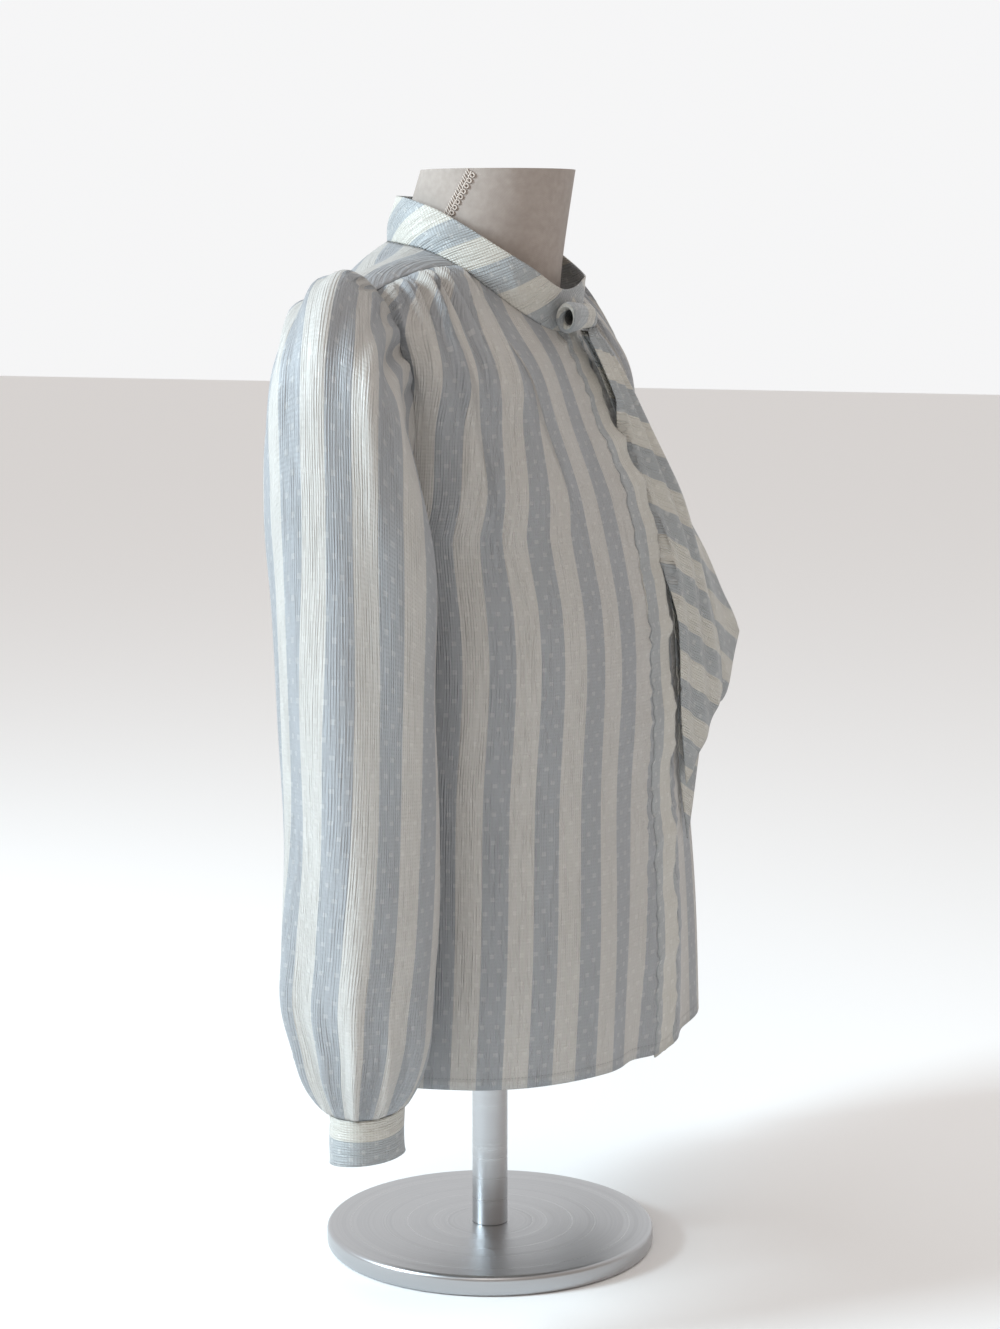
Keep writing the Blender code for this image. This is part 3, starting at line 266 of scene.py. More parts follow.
# Knot: a short roll of the tie in front of the collar, open at the end on the wearer's right
KNOT_SECTIONS = (
    # x, centre y, centre z, half depth, half height, hole share
    (-0.0330, -0.0755, 0.7335, 0.0080, 0.0115, 0.70),
    (-0.0280, -0.0760, 0.7340, 0.0082, 0.0120, 0.52),
    (-0.0180, -0.0765, 0.7345, 0.0082, 0.0110, 0.40),
    (-0.0050, -0.0768, 0.7345, 0.0080, 0.0100, 0.36),
    (0.0060, -0.0768, 0.7340, 0.0080, 0.0100, 0.36),
    (0.0150, -0.0755, 0.7330, 0.0070, 0.0090, 0.36),
)

# Tails of the tie: each row joins their two side edges, and the last row is the slanted end
NEAR_TAIL = (
    # inner x, inner y, inner z, outer x, outer y, outer z
    (-0.0020, -0.0805, 0.7205, 0.0160, -0.0790, 0.7215),
    (0.0060, -0.0930, 0.6900, 0.0360, -0.0895, 0.6968),
    (0.0172, -0.1050, 0.6480, 0.0550, -0.1107, 0.6466),
    (0.0178, -0.1215, 0.5960, 0.0700, -0.1304, 0.5998),
    (0.0205, -0.1410, 0.5450, 0.0780, -0.1395, 0.5643),
    (0.0250, -0.1465, 0.4900, 0.0850, -0.1483, 0.5209),
    (0.0280, -0.1475, 0.4300, 0.0900, -0.1570, 0.4773),
    (0.0400, -0.1480, 0.3745, 0.0900, -0.1599, 0.4418),
)
FAR_TAIL = (
    # inner x, inner y, inner z, outer x, outer y, outer z
    (0.0020, -0.0735, 0.7205, 0.0150, -0.0725, 0.7215),
    (0.0140, -0.0850, 0.6900, 0.0400, -0.0838, 0.6928),
    (0.0200, -0.1000, 0.6480, 0.0650, -0.1028, 0.6459),
    (0.0240, -0.1180, 0.5960, 0.0900, -0.1175, 0.5979),
    (0.0270, -0.1340, 0.5450, 0.1100, -0.1378, 0.5495),
    (0.0300, -0.1400, 0.4900, 0.1250, -0.1473, 0.5165),
    (0.0340, -0.1410, 0.4200, 0.1340, -0.1530, 0.4990),
    (0.0550, -0.1445, 0.3214, 0.1400, -0.1571, 0.4824),
)
TAIL_CLEARANCE = 0.0032
TAIL_MARGIN = 0.012
KNOT_SEAT = 0.0010
# The far tail's slanted end is folded up between its corners
FAR_END_HOLLOW = 0.060
FAR_END_PLACE = 0.32
FAR_END_WIDTH = 0.22
# Flutes of the tails, across their width
NEAR_FLUTES = (
    # place, half width, height
    (0.14, 0.10, 0.0030),
    (0.48, 0.13, 0.0050),
    (0.84, 0.10, 0.0040),
)
FAR_FLUTES = (
    # place, half width, height
    (0.30, 0.14, 0.0030),
    (0.72, 0.13, 0.0045),
)
TAIL_SLANT_TOP = math.radians(13)
TAIL_SLANT_LOW = math.radians(28)

# Dress form
FORM_SECTIONS = (
    # z front, z side, z back, half width, front y, back y, squareness
    (0.2120, 0.2120, 0.2120, 0.146, -0.098, 0.090, 2.2),
    (0.2240, 0.2240, 0.2240, 0.154, -0.105, 0.096, 2.2),
    (0.2900, 0.2900, 0.2900, 0.154, -0.106, 0.096, 2.2),
    (0.3600, 0.3600, 0.3600, 0.132, -0.094, 0.086, 2.1),
    (0.4100, 0.4100, 0.4100, 0.122, -0.088, 0.080, 2.1),
    (0.4700, 0.4700, 0.4700, 0.132, -0.104, 0.084, 2.1),
    (0.5200, 0.5200, 0.5200, 0.142, -0.118, 0.090, 2.1),
    (0.5800, 0.5800, 0.5800, 0.146, -0.104, 0.095, 2.1),
    (0.6400, 0.6450, 0.6400, 0.147, -0.084, 0.096, 2.1),
    (0.6870, 0.7040, 0.6950, 0.148, -0.066, 0.092, 2.0),
    (0.7070, 0.7350, 0.7330, 0.137, -0.057, 0.086, 2.0),
    (0.7183, 0.7580, 0.7705, 0.0983, -0.0542, 0.0792, 2.0),
    (0.7303, 0.7736, 0.7940, 0.0673, -0.0538, 0.0738, 2.0),
    (0.7490, 0.7890, 0.8070, 0.0575, -0.0535, 0.0660, 2.0),
    (0.7800, 0.8080, 0.8180, 0.0545, -0.0565, 0.0620, 2.0),
    (0.8440, 0.8440, 0.8440, 0.0545, -0.0660, 0.0530, 2.0),
)
# Braid on the neck, given as y and z
BRAID_TOP = (-0.0090, 0.8425)
BRAID_LOW = (0.0210, 0.7930)
POLE_RADIUS = 0.014
BASE_RADIUS = 0.130
BASE_HEIGHT = 0.016
SOCKET_GAP = 0.0003

# Camera
CAMERA_AZIMUTH = math.radians(-67)
CAMERA_DISTANCE = 2.2
CAMERA_HEIGHT = 0.78
CAMERA_PITCH = math.radians(8.15)
CAMERA_LENS = 77.4
CAMERA_SHIFT = 10 / 1329


def linear(code, alpha=1.0):
    """Linear colour of an sRGB hex code."""
    parts = [int(code[k : k + 2], 16) / 255 for k in (1, 3, 5)]
    return tuple(c / 12.92 if c <= 0.04045 else ((c + 0.055) / 1.055) ** 2.4 for c in parts) + (alpha,)


def unit(vectors):
    """Vectors at length 1, along the last axis."""
    length = np.linalg.norm(vectors, axis=-1, keepdims=True)
    return vectors / np.maximum(length, 1e-12)


def spline(knots, controls, places):
    """Reads a smooth curve that passes through controls[k] at knots[k]."""
    knots = np.asarray(knots, float)
    controls = np.asarray(controls, float)
    places = np.clip(np.asarray(places, float), knots[0], knots[-1])
    steps = np.diff(knots)
    rises = np.diff(controls, axis=0) / steps.reshape((-1,) + (1,) * (controls.ndim - 1))
    slopes = np.empty_like(controls)
    for k in range(1, len(knots) - 1):
        before, after = steps[k - 1], steps[k]
        slopes[k] = (rises[k - 1] * after + rises[k] * before) / (before + after)
    slopes[0] = 1.5 * rises[0] - 0.5 * slopes[1]
    slopes[-1] = 1.5 * rises[-1] - 0.5 * slopes[-2]
    k = np.clip(np.searchsorted(knots, places, side="right") - 1, 0, len(steps) - 1)
    step = steps[k]
    t = (places - knots[k]) / step
    shape = (-1,) + (1,) * (controls.ndim - 1)
    t, step = t.reshape(shape), step.reshape(shape)
    return (
        (2 * t**3 - 3 * t**2 + 1) * controls[k]
        + (t**3 - 2 * t**2 + t) * step * slopes[k]
        + (3 * t**2 - 2 * t**3) * controls[k + 1]
        + (t**3 - t**2) * step * slopes[k + 1]
    )


def chord_knots(points):
    """Knots spaced as the points are."""
    lengths = np.linalg.norm(np.diff(np.asarray(points, float), axis=0), axis=-1)
    return np.concatenate([[0.0], np.cumsum(lengths)])


def even(points, shares):
    """Points at the given shares of a polyline's length."""
    knots = chord_knots(points)
    places = np.asarray(shares, float) * knots[-1]
    return np.stack([np.interp(places, knots, points[:, k]) for k in range(3)], axis=-1)


def smooth_line(table, count=400):
    """A fine polyline on the smooth curve through a table's points."""
    points = np.array(table, float)
    knots = chord_knots(points)
    return spline(knots, points, np.linspace(0, knots[-1], count))


def quarter(middle, edge, squareness, shares):
    """Part of a section, from its middle point to its edge point, as a quarter of a rounded square."""
    middle, edge = np.array(middle, float), np.array(edge, float)
    angle = np.linspace(0, math.pi / 2, 700)
    across = np.sin(angle) ** (2 / squareness)
    along = np.cos(angle) ** (2 / squareness)
    line = np.stack(
        [
            middle[0] + (edge[0] - middle[0]) * across,
            edge[1] + (middle[1] - edge[1]) * along,
            middle[2] + (edge[2] - middle[2]) * (1 - np.cos(angle)),
        ],
        axis=-1,
    )
    return even(line, shares)


def bump(distance, half_width):
    """A round ridge of height 1."""
    return np.exp(-((distance / half_width) ** 2))


def fade_from_seam(below, reach):
    """Rises from a seam over the gather's first stretch, then dies away at its reach."""
    rise = 1 - np.exp(-below / GATHER_RISE)
    fall = np.clip(1 - below / reach, 0, 1)
    return rise * fall * fall * (3 - 2 * fall)


NECK_LINE = smooth_line(NECKLINE)
NECK_KNOTS = chord_knots(np.array(NECKLINE))
NECK_SPLIT = NECK_KNOTS[YOKE_FRONT_STATION] / NECK_KNOTS[-1]


def neckline(share):
    """The neckline's right half, from the middle front at 0 to the middle back at 1."""
    return even(NECK_LINE, share)


def yoke_seam(share):
    """The seam in front of the shoulder, from the neck at 0 to the armhole at 1."""
    share = np.asarray(share, float)
    start = neckline(np.array([NECK_SPLIT]))[0]
    end = np.array(YOKE_ARMHOLE[0])
    line = start + (end - start) * share[:, None]
    line[:, 2] += YOKE_SHOULDER_CROWN * 4 * share * (1 - share)
    return line


def front_top(share):
    """The front's upper edge: half of its width meets the neckline and half the yoke."""
    share = np.asarray(share, float)
    on_neck = np.clip(share * 2, 0, 1) * NECK_SPLIT
    on_yoke = np.clip(share * 2 - 1, 0, 1)
    return np.where((share < 0.5)[:, None], neckline(on_neck), yoke_seam(on_yoke))


def half_sections(shares, is_front):
    """The right half's sections, from the hem up, read at shares from the middle to the side."""
    rings = []
    for height, half_width, front, back, side, square in BODY_SECTIONS:
        depth = -front if is_front else back
        rings.append(quarter((0, depth, height), (-half_width, side, height), square, shares))
    for mid_y, mid_z, edge_x, edge_y, edge_z, square in FRONT_CHEST if is_front else BACK_BLADE:
        rings.append(quarter((0, mid_y, mid_z), (-edge_x, edge_y, edge_z), square, shares))
    if is_front:
        rings.append(front_top(shares))
    return np.array(rings)


def section_knots(is_front):
    """Knots of the body's sections, as lengths up its side seam and then up the panel."""
    lines = half_sections(np.array([0.0, 0.5, 1.0]), is_front)
    below = len(BODY_SECTIONS)
    side = chord_knots(lines[:below, 2])
    above = np.mean([chord_knots(lines[below - 1 :, k]) for k in range(3)], axis=0)
    return np.concatenate([side, side[-1] + above[1:]])


def body_rows(is_front, count=112):
    """Places of the rows up a body panel, closer together towards its top seam, and the underarm's row."""
    knots = section_knots(is_front)
    underarm = knots[len(BODY_SECTIONS) - 1]
    share = underarm / knots[-1]
    low = round(count * share * 0.92)
    rows = np.linspace(0, underarm, low + 1)
    ease = np.linspace(0, 1, count - low + 1)[1:]
    above = underarm + (knots[-1] - underarm) * (1 - (1 - ease) ** 1.25)
    return np.concatenate([rows, above]), low


def surface_normals(grid, closed=False):
    """Normals of a grid of points, rows by columns."""
    if closed:
        along = np.roll(grid, -1, axis=1) - np.roll(grid, 1, axis=1)
    else:
        along = np.gradient(grid, axis=1)
    return unit(np.cross(along, np.gradient(grid, axis=0)))


def fold_lift(place, below, folds):
    """How far folds lift the cloth, at places across it and distances below its seam."""
    lift = np.zeros(np.broadcast(place, below).shape)
    for centre, half_width, height, reach in folds:
        widen = 1 + 1.2 * np.clip(below / 0.20, 0, 1.5)
        lift = lift + height * bump(place - centre, half_width * widen) * fade_from_seam(below, reach)
    return lift


def fine_gathers(place, below, first, last, count, height, reach, seed):
    """Small uneven gathers between two places at a seam; they are sharp at the seam and soon die away."""
    chance = np.random.default_rng(seed)
    lift = np.zeros(np.broadcast(place, below).shape)
    pitch = (last - first) / count
    for k in range(count):
        centre = first + pitch * (k + 0.5 + chance.uniform(-0.3, 0.3))
        lean = chance.uniform(-0.25, 0.25) * pitch
        size = height * chance.uniform(0.5, 1.1)
        length = reach * chance.uniform(0.5, 1.3)
        fall = np.clip(1 - below / length, 0, 1) ** 1.4
        rise = 1 - np.exp(-below / 0.0035)
        away = np.abs(place - centre - lean * below / length) / (pitch * 0.42)
        lift = lift + size * np.exp(-(away**3)) * rise * fall
    return lift


def placket_lift(height, from_edge):
    """How far the pulled stitching lifts the cloth near the front edge."""
    lift = np.zeros(np.broadcast(height, from_edge).shape)
    for centre, half_length, rise in PLACKET_WAVES:
        lift = lift + rise * bump(height - centre, half_length)
    return lift * np.clip(1 - from_edge / 0.075, 0, 1)


def stitch_pucker(height, from_edge, seed):
    """Small slanting puckers on both sides of the placket's stitching."""
    chance = np.random.default_rng(seed)
    lift = np.zeros(np.broadcast(height, from_edge).shape)
    for k in range(40):
        centre = 0.175 + 0.0142 * k + chance.uniform(-0.004, 0.004)
        slant = chance.uniform(-0.35, 0.35)
        rise = chance.uniform(0.0012, 0.0032)
        away = height - centre - slant * (from_edge - PLACKET_WIDTH)
        near = bump(from_edge - PLACKET_WIDTH, 0.014) + 0.8 * bump(from_edge, 0.014)
        lift = lift + rise * bump(away, 0.0045) * near
    return lift


def sway(place, height, phase):
    """Slow waves of the loose cloth, largest at the hem."""
    low = np.clip((0.46 - height) / 0.28, 0, 1)
    return SWAY_HEIGHT * low * np.sin(2 * math.pi * (2.6 * place + 0.35 * np.sin(5 * place) + phase))


def drape(place, height, seed):
    """Faint long folds of hanging cloth."""
    chance = np.random.default_rng(seed)
    lift = np.zeros(np.broadcast(place, height).shape)
    for k in range(9):
        centre = (k + 0.5 + chance.uniform(-0.35, 0.35)) / 9
        lean = chance.uniform(-0.06, 0.06)
        middle = chance.uniform(0.25, 0.55)
        size = chance.uniform(0.0004, 0.0010)
        lift = lift + size * bump(place - centre - lean * (height - 0.4), 0.028) * bump(height - middle, 0.13)
    return lift


def front_surface(widths, rows, inset=0.0, phase=0.0, pull=1.0):
    """Centre of the right front's cloth; widths run from the middle front and may go past it."""
    widths = np.asarray(widths, float)
    shares = np.abs(widths) / FRONT_WIDTH
    rings = half_sections(shares, True)
    rings[..., 0] *= np.where(widths < 0, -1.0, 1.0)[None, :]
    knots = section_knots(True)
    grid = spline(knots, rings, rows)
    steps = np.linalg.norm(np.diff(grid, axis=1), axis=-1)
    across = widths[0] + np.concatenate([np.zeros((len(rows), 1)), np.cumsum(steps, axis=1)], axis=1)
    normals = -surface_normals(grid)
    below = (knots[-1] - rows)[:, None]
    place = (widths / FRONT_WIDTH)[None, :]
    from_edge = (widths + OVERLAP)[None, :]
    inner = np.clip((1 - place) / 0.04, 0, 1)
    lift = fold_lift(place, below, FRONT_FOLDS) * inner
    lift = lift + fine_gathers(place, below, 0.50, 0.97, 7, 0.0066, 0.170, 14) * inner
    lift = lift + fine_gathers(place, below, 0.50, 0.97, 16, 0.0062, 0.065, 11) * inner
    lift = lift + pleat_lips(across + OVERLAP, below) * inner
    lift = lift + drape(place, grid[..., 2], 5) * inner * np.clip((place - 0.12) / 0.1, 0, 1)
    lift = lift + placket_lift(grid[..., 2], from_edge) * pull
    lift = lift + stitch_pucker(grid[..., 2], from_edge, 8 if inset else 3) * np.clip(below / 0.03, 0, 1)
    lift = lift + sway(place, grid[..., 2], phase) * inner * np.clip(place / 0.2, 0, 1)
    lap = np.clip(1 - np.maximum(widths, 0) / 0.060, 0, 1)
    lift = lift + (0.0008 - inset) * (lap * lap * (3 - 2 * lap))[None, :]
    grid = grid + normals * lift[..., None]
    hem = np.clip(1 - (rows - rows[0]) / HEM_DIP_REACH, 0, 1)[:, None]
    if inset:
        dip = LEFT_HEM_DIP * np.clip(1 - np.abs(widths) / LEFT_HEM_DIP_WIDTH, 0, 1)
    else:
        dip = HEM_DIP * np.clip(1 - np.abs(widths) / HEM_DIP_WIDTH, 0, 1) ** 2
    grid[..., 2] -= hem * dip[None, :]
    cut = taken_up(across + OVERLAP, below)
    low = np.clip((0.53 - grid[..., 2]) / 0.075, 0, 1)
    flare = HEM_FLARE * np.clip(0.455 - grid[..., 2], 0, 1) + HEM_FLARE_START * low
    return grid, cut - flare * np.clip(cut / 0.085, 0, 1)


def taken_up(across, below):
    """Distance across the cut of the front: the pleats under the yoke take up some of its width."""
    cut = across
    for centre, lean, depth, reach in YOKE_PLEATS:
        step = np.clip((across - centre + lean * below) / 0.007 + 0.5, 0, 1)
        cut = cut + depth * np.clip(1 - below / reach, 0, 1) * step * step * (3 - 2 * step)
    return cut


def pleat_lips(across, below):
    """Raised lips where the pleats fold over."""
    lift = np.zeros(np.broadcast(across, below).shape)
    for centre, lean, depth, reach in YOKE_PLEATS:
        away = across - centre + lean * below
        lip = np.where(away > 0, np.exp(-away / 0.012), np.exp(-((away / 0.0022) ** 2)))
        fall = np.clip(1 - below / reach, 0, 1)
        lift = lift + 0.09 * depth * lip * fall * (1 - np.exp(-below / 0.01))
    return lift


def back_surface(widths, rows):
    """Centre of the back's cloth, from the wearer's right side to the left."""
    widths = np.asarray(widths, float)
    shares = np.abs(widths) / BACK_WIDTH
    rings = half_sections(shares, False)
    rings[..., 0] *= np.where(widths > 0, -1.0, 1.0)[None, :]
    knots = section_knots(False)
    grid = spline(knots, rings, rows)
    normals = -surface_normals(grid)
    below = (knots[-1] - rows)[:, None]
    place = shares[None, :]
    inner = np.clip((1 - place) / 0.05, 0, 1)
    across = widths[None, :] / BACK_WIDTH
    lift = fold_lift(place, below, BACK_FOLDS) * inner
    lift = lift + fine_gathers(across, below, -0.9, 0.9, 34, 0.0019, 0.070, 21) * inner
    lift = lift + drape((across + 1) / 2, grid[..., 2], 9) * inner
    lift = lift + sway(across, grid[..., 2], 0.3) * inner
    return grid + normals * lift[..., None]


def join_side(front, back, low):
    """Brings the side edges of the right front and the back onto one seam below the underarm."""
    seam = (front[: low + 1, -1] + back[: low + 1, 0]) / 2
    for grid, edge in ((front, -1), (back, 0)):
        move = seam - grid[: low + 1, edge]
        away = np.linalg.norm(grid[: low + 1] - grid[: low + 1, edge][:, None], axis=-1)
        grid[: low + 1] += move[:, None] * np.clip(1 - away / 0.05, 0, 1)[..., None]


def yoke_surface(columns_armhole, columns_back, rows):
    """Centre of the yoke's cloth: rows go out from the neckline, columns round it by the back."""
    armhole = smooth_line(YOKE_ARMHOLE)
    mid_y, mid_z, edge_x, edge_y, edge_z, square = BACK_BLADE[-1]
    shares = np.linspace(1, 0, columns_back + 1)
    back = quarter((0, mid_y, mid_z), (-edge_x, edge_y, edge_z), square, shares)
    outer = np.concatenate([even(armhole, np.linspace(0, 1, columns_armhole + 1)), back[1:]])
    split = NECK_SPLIT + (1 - NECK_SPLIT) * YOKE_ARMHOLE_SHARE
    inner_shares = np.concatenate(
        [
            np.linspace(NECK_SPLIT, split, columns_armhole + 1),
            np.linspace(split, 1, columns_back + 1)[1:],
        ]
    )
    inner = neckline(inner_shares)
    out = np.linspace(0, 1, rows + 1)[:, None, None]
    half = inner[None] * (1 - out) + outer[None] * out
    backward = np.clip((inner[:, 1] + 0.004) / 0.07, 0, 1)
    crown = YOKE_SHOULDER_CROWN + (YOKE_BACK_CROWN - YOKE_SHOULDER_CROWN) * backward
    lean = unit(np.stack([np.zeros_like(backward), 0.8 * backward, np.ones_like(backward)], axis=-1))
    half = half + (lean * crown[:, None])[None] * (4 * out * (1 - out))
    mirrored = half[:, ::-1][:, 1:] * np.array([-1.0, 1.0, 1.0])
    return np.concatenate([half, mirrored], axis=1)


def sleeve_ring(ring, place):
    """One ring of the sleeve; place 0 is its inner side and 0.25 its front."""
    centre_x, centre_y, half_width, half_depth, z_in, z_out, square = ring
    angle = 2 * math.pi * place
    cos, sin = np.cos(angle), np.sin(angle)
    across = np.sign(cos) * np.abs(cos) ** (2 / square)
    along = np.sign(sin) * np.abs(sin) ** (2 / square)
    height = z_in + (z_out - z_in) * (1 - cos) / 2
    return np.stack([centre_x + half_width * across, centre_y - half_depth * along, height], axis=-1)


def cuff_ring(place, height):
    """The cuff's outline at one height."""
    ring = (*CUFF_CENTRE, CUFF_HALF_WIDTH, CUFF_HALF_DEPTH, height, height, 2.2)
    return sleeve_ring(ring, place)


def sleeve_surface(loop, rows_count, phase=0.0, back=0.0, seed=31):
    """Centre of the right sleeve's cloth, from the armhole to the cuff, hung further back if asked."""
    length = chord_knots(np.concatenate([loop, loop[:1]]))
    place = length[:-1] / length[-1]
    inner_side = (1 + np.cos(2 * math.pi * place)) / 2
    cap = loop.copy()
    cap[:, 0] -= CAP_OUT + (CAP_OUT_UNDERARM - CAP_OUT) * inner_side
    cap[:, 1] -= CAP_TUCK * np.clip(-np.sin(2 * math.pi * place), 0, 1)
    cap[:, 2] -= CAP_DROP * inner_side
    rings = [loop, cap] + [sleeve_ring(ring, place) for ring in SLEEVE_RINGS]
    rings.append(cuff_ring(place, CUFF_TOP))
    rings = np.array(rings)
    rings[1, :, 1] += back * CAP_BACK_SHARE * (1 - inner_side)
    rings[2:, :, 1] += back
    knots = np.mean([chord_knots(rings[:, k]) for k in range(0, len(place), 12)], axis=0)
    ease = np.linspace(0, 1, rows_count + 1)
    share = ease - 0.055 * np.sin(2 * math.pi * ease)
    rows = share * knots[-1]
    grid = spline(knots, rings, rows)
    below = rows[:, None]
    above = (knots[-1] - rows)[:, None]
    turned = place[None, :]
    grid[..., 1] -= FRONT_FULLNESS * bump(turned - 0.22, 0.11) * bump(below - 0.115, 0.075)
    across = sleeve_grain(grid, place)
    normals = surface_normals(grid, closed=True)
    lift = fold_lift(turned, below, CAP_FOLDS)
    lift = lift + fine_gathers(turned, below, 0.30, 0.74, 9, 0.0078, 0.150, seed + 5)
    lift = lift + fine_gathers(turned, below, 0.26, 0.77, 19, 0.0026, 0.060, seed)
    for shift in (-1, 0, 1):
        lift = lift + fold_lift(turned + shift, above, CUFF_FOLDS)
    lift = lift - CUFF_PULL * fade_from_seam(above, 0.16)
    lift = lift + fine_gathers(turned, above, 0.0, 1.0, 16, 0.0034, 0.110, seed + 7)
    lift = lift + fine_gathers(turned, above, 0.0, 1.0, 32, 0.0022, 0.045, seed + 1)
    slow = np.sin(math.pi * np.clip(rows / knots[-1], 0, 1))[:, None] ** 2
    waves = np.sin(2 * math.pi * (4 * turned + phase + 0.5 * below / knots[-1]))
    outer = (1 - inner_side)[None, :]
    lift = lift + SLEEVE_WAVE * slow * waves * outer
    long_folds = np.sin(2 * math.pi * (11 * turned + 0.6 * np.sin(9 * turned) - 0.9 * below / knots[-1]))
    lift = lift + 0.0006 * slow * long_folds * outer
    return grid + normals * lift[..., None], place, rows, across


def sleeve_grain(grid, place):
    """Distance across the sleeve's cut: level lines over the cap, which keeps the grain upright."""
    levels = np.linspace(0.40, 0.78, 160)
    flat = np.empty((len(levels), grid.shape[1], 2))
    for column in range(grid.shape[1]):
        heights = grid[::-1, column, 2]
        for axis in range(2):
            flat[:, column, axis] = np.interp(levels, heights, grid[::-1, column, axis])
    steps = np.linalg.norm(np.diff(flat, axis=1), axis=-1)
    length = np.concatenate([np.zeros((len(levels), 1)), np.cumsum(steps, axis=1)], axis=1)
    middle = int(np.argmin(np.abs(place - 0.5)))
    length = length - length[:, middle : middle + 1]
    around = np.linalg.norm(flat[0] - np.roll(flat[0], 1, axis=0), axis=-1).sum()
    level = np.stack([np.interp(grid[:, c, 2], levels, length[:, c]) for c in range(grid.shape[1])], axis=1)
    level = level * SLEEVE_WIDTH / around + (0.5 - SLEEVE_CREAM) * SLEEVE_WIDTH
    turned = np.broadcast_to((place - SLEEVE_CREAM) * SLEEVE_WIDTH, level.shape)
    share = np.clip((grid[..., 2] - 0.46) / 0.14, 0, 1)
    share = share * share * (3 - 2 * share)
    twist = SLEEVE_TWIST - SLEEVE_TWIST_RATE * np.clip(0.62 - grid[..., 2], 0, 1)
    across = turned * (1 - share) + level * share + STRIPE / 2 + twist
    return np.concatenate([across, across[:, :1] + SLEEVE_WIDTH], axis=1)


def cuff_surface(place, rows_count):
    """Centre of the right cuff's cloth, from its seam down; its lower edge isn't quite level."""
    heights = np.linspace(CUFF_TOP, CUFF_TOP - CUFF_HEIGHT, rows_count + 1)
    rings = np.array([cuff_ring(place, height) for height in heights])
    down = np.linspace(0, 1, rows_count + 1)[:, None]
    wave = CUFF_EDGE_WAVE * np.sin(2 * math.pi * (place - 0.1)) * np.sin(math.pi * place)
    rings[..., 2] += wave[None, :] * down**2
    normals = surface_normals(rings, closed=True)
    roll = 0.0006 * np.exp(-((down * CUFF_HEIGHT) / 0.0022)) + 0.0005 * bump(1 - down, 0.05)
    dent = 0.0006 * np.sin(2 * math.pi * (3 * place[None, :] + 0.4 * down)) * np.sin(math.pi * down)
    return rings + normals * (roll + dent)[..., None]


def mirror(grid):
    """The same cloth on the wearer's left, with its columns turned round to keep the outside out."""
    return grid[:, ::-1] * np.array([-1.0, 1.0, 1.0])


def pull_in(grid, sides):
    """Draws the edges on seams back by half the seam's gap."""
    moved = grid.copy()
    for side in sides:
        if side == "start":
            moved[0] += unit(grid[1] - grid[0]) * SEAM_GAP / 2
        elif side == "end":
            moved[-1] += unit(grid[-2] - grid[-1]) * SEAM_GAP / 2
        elif side == "first":
            moved[:, 0] += unit(grid[:, 1] - grid[:, 0]) * SEAM_GAP / 2
        else:
            moved[:, -1] += unit(grid[:, -2] - grid[:, -1]) * SEAM_GAP / 2
    return moved


def mesh_object(name, points, faces, corner_uv, material):
    """A smooth shaded mesh; corner_uv gives woven coordinates for each corner of each face."""
    mesh = bpy.data.meshes.new(name)
    mesh.from_pydata([tuple(map(float, p)) for p in points], [], faces)
    if corner_uv is not None:
        layer = mesh.uv_layers.new(name="cloth")
        layer.data.foreach_set("uv", np.asarray(corner_uv, np.float32).ravel())
    mesh.materials.append(material)
    mesh.shade_smooth()
    obj = bpy.data.objects.new(name, mesh)
    bpy.context.scene.collection.objects.link(obj)
    return obj


def cloth_object(name, grid, u, v, thickness, material, closed=False, flip=False):
    """A sheet of cloth on a grid of points; u and v have one more column than a closed grid."""
    rows, columns = grid.shape[:2]
    last = columns if closed else columns - 1
    row, column = np.meshgrid(np.arange(rows - 1), np.arange(last), indexing="ij")
    row, column = row.ravel(), column.ravel()
    corners = [(row, column), (row, column + 1), (row + 1, column + 1), (row + 1, column)]
    if flip:
        corners = corners[::-1]
    faces = np.stack([r * columns + c % columns for r, c in corners], axis=1)
    corner_uv = np.stack([np.stack([u[r, c], v[r, c]], axis=-1) for r, c in corners], axis=1)
    obj = mesh_object(name, grid.reshape(-1, 3), faces.tolist(), corner_uv, material)
    shell = obj.modifiers.new("thickness", "SOLIDIFY")
    shell.thickness = thickness
    shell.offset = 0.0
    return obj


def dress(obj, node):
    """Puts a piece on the part in place of its solid."""
    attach(obj, "root")
    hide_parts(node)
    return obj


def collar_surface(under, rows):
    """Centre of the collar band: columns run round it from the middle front, rows up."""
    shares = chord_knots(np.concatenate([under, under[:1]]))
    shares = shares[:-1] / shares[-1]
    top = np.array(COLLAR_TOP + COLLAR_TOP[:1])
    around = np.concatenate([top[-4:-1], top, top[1:4]])
    knots = chord_knots(around)
    over = spline(knots, around, np.linspace(knots[3], knots[-4], 600))
    over = even(over, shares)
    up = np.linspace(0, 1, rows + 1)[:, None, None]
    grid = under[None] * (1 - up) + over[None] * up
    outward = unit((under - np.array([0.0, 0.004, 0.0])) * np.array([1.0, 1.0, 0.0]))
    grid = grid + outward[None] * COLLAR_BELLY * 4 * up * (1 - up)
    rise = up[..., 0]
    turned = shares[None, :]
    fold = 0.0007 * np.sin(2 * math.pi * (7 * turned + 0.7 * rise)) * np.sin(math.pi * rise)
    crease = 0.0008 * bump(turned - 0.12 - 0.05 * rise, 0.012) + 0.0007 * bump(turned - 0.90 + 0.04 * rise, 0.014)
    roll = 0.0007 * bump(1 - rise, 0.06)
    return grid + outward[None] * (fold + crease * np.sin(math.pi * rise) + roll)[..., None]


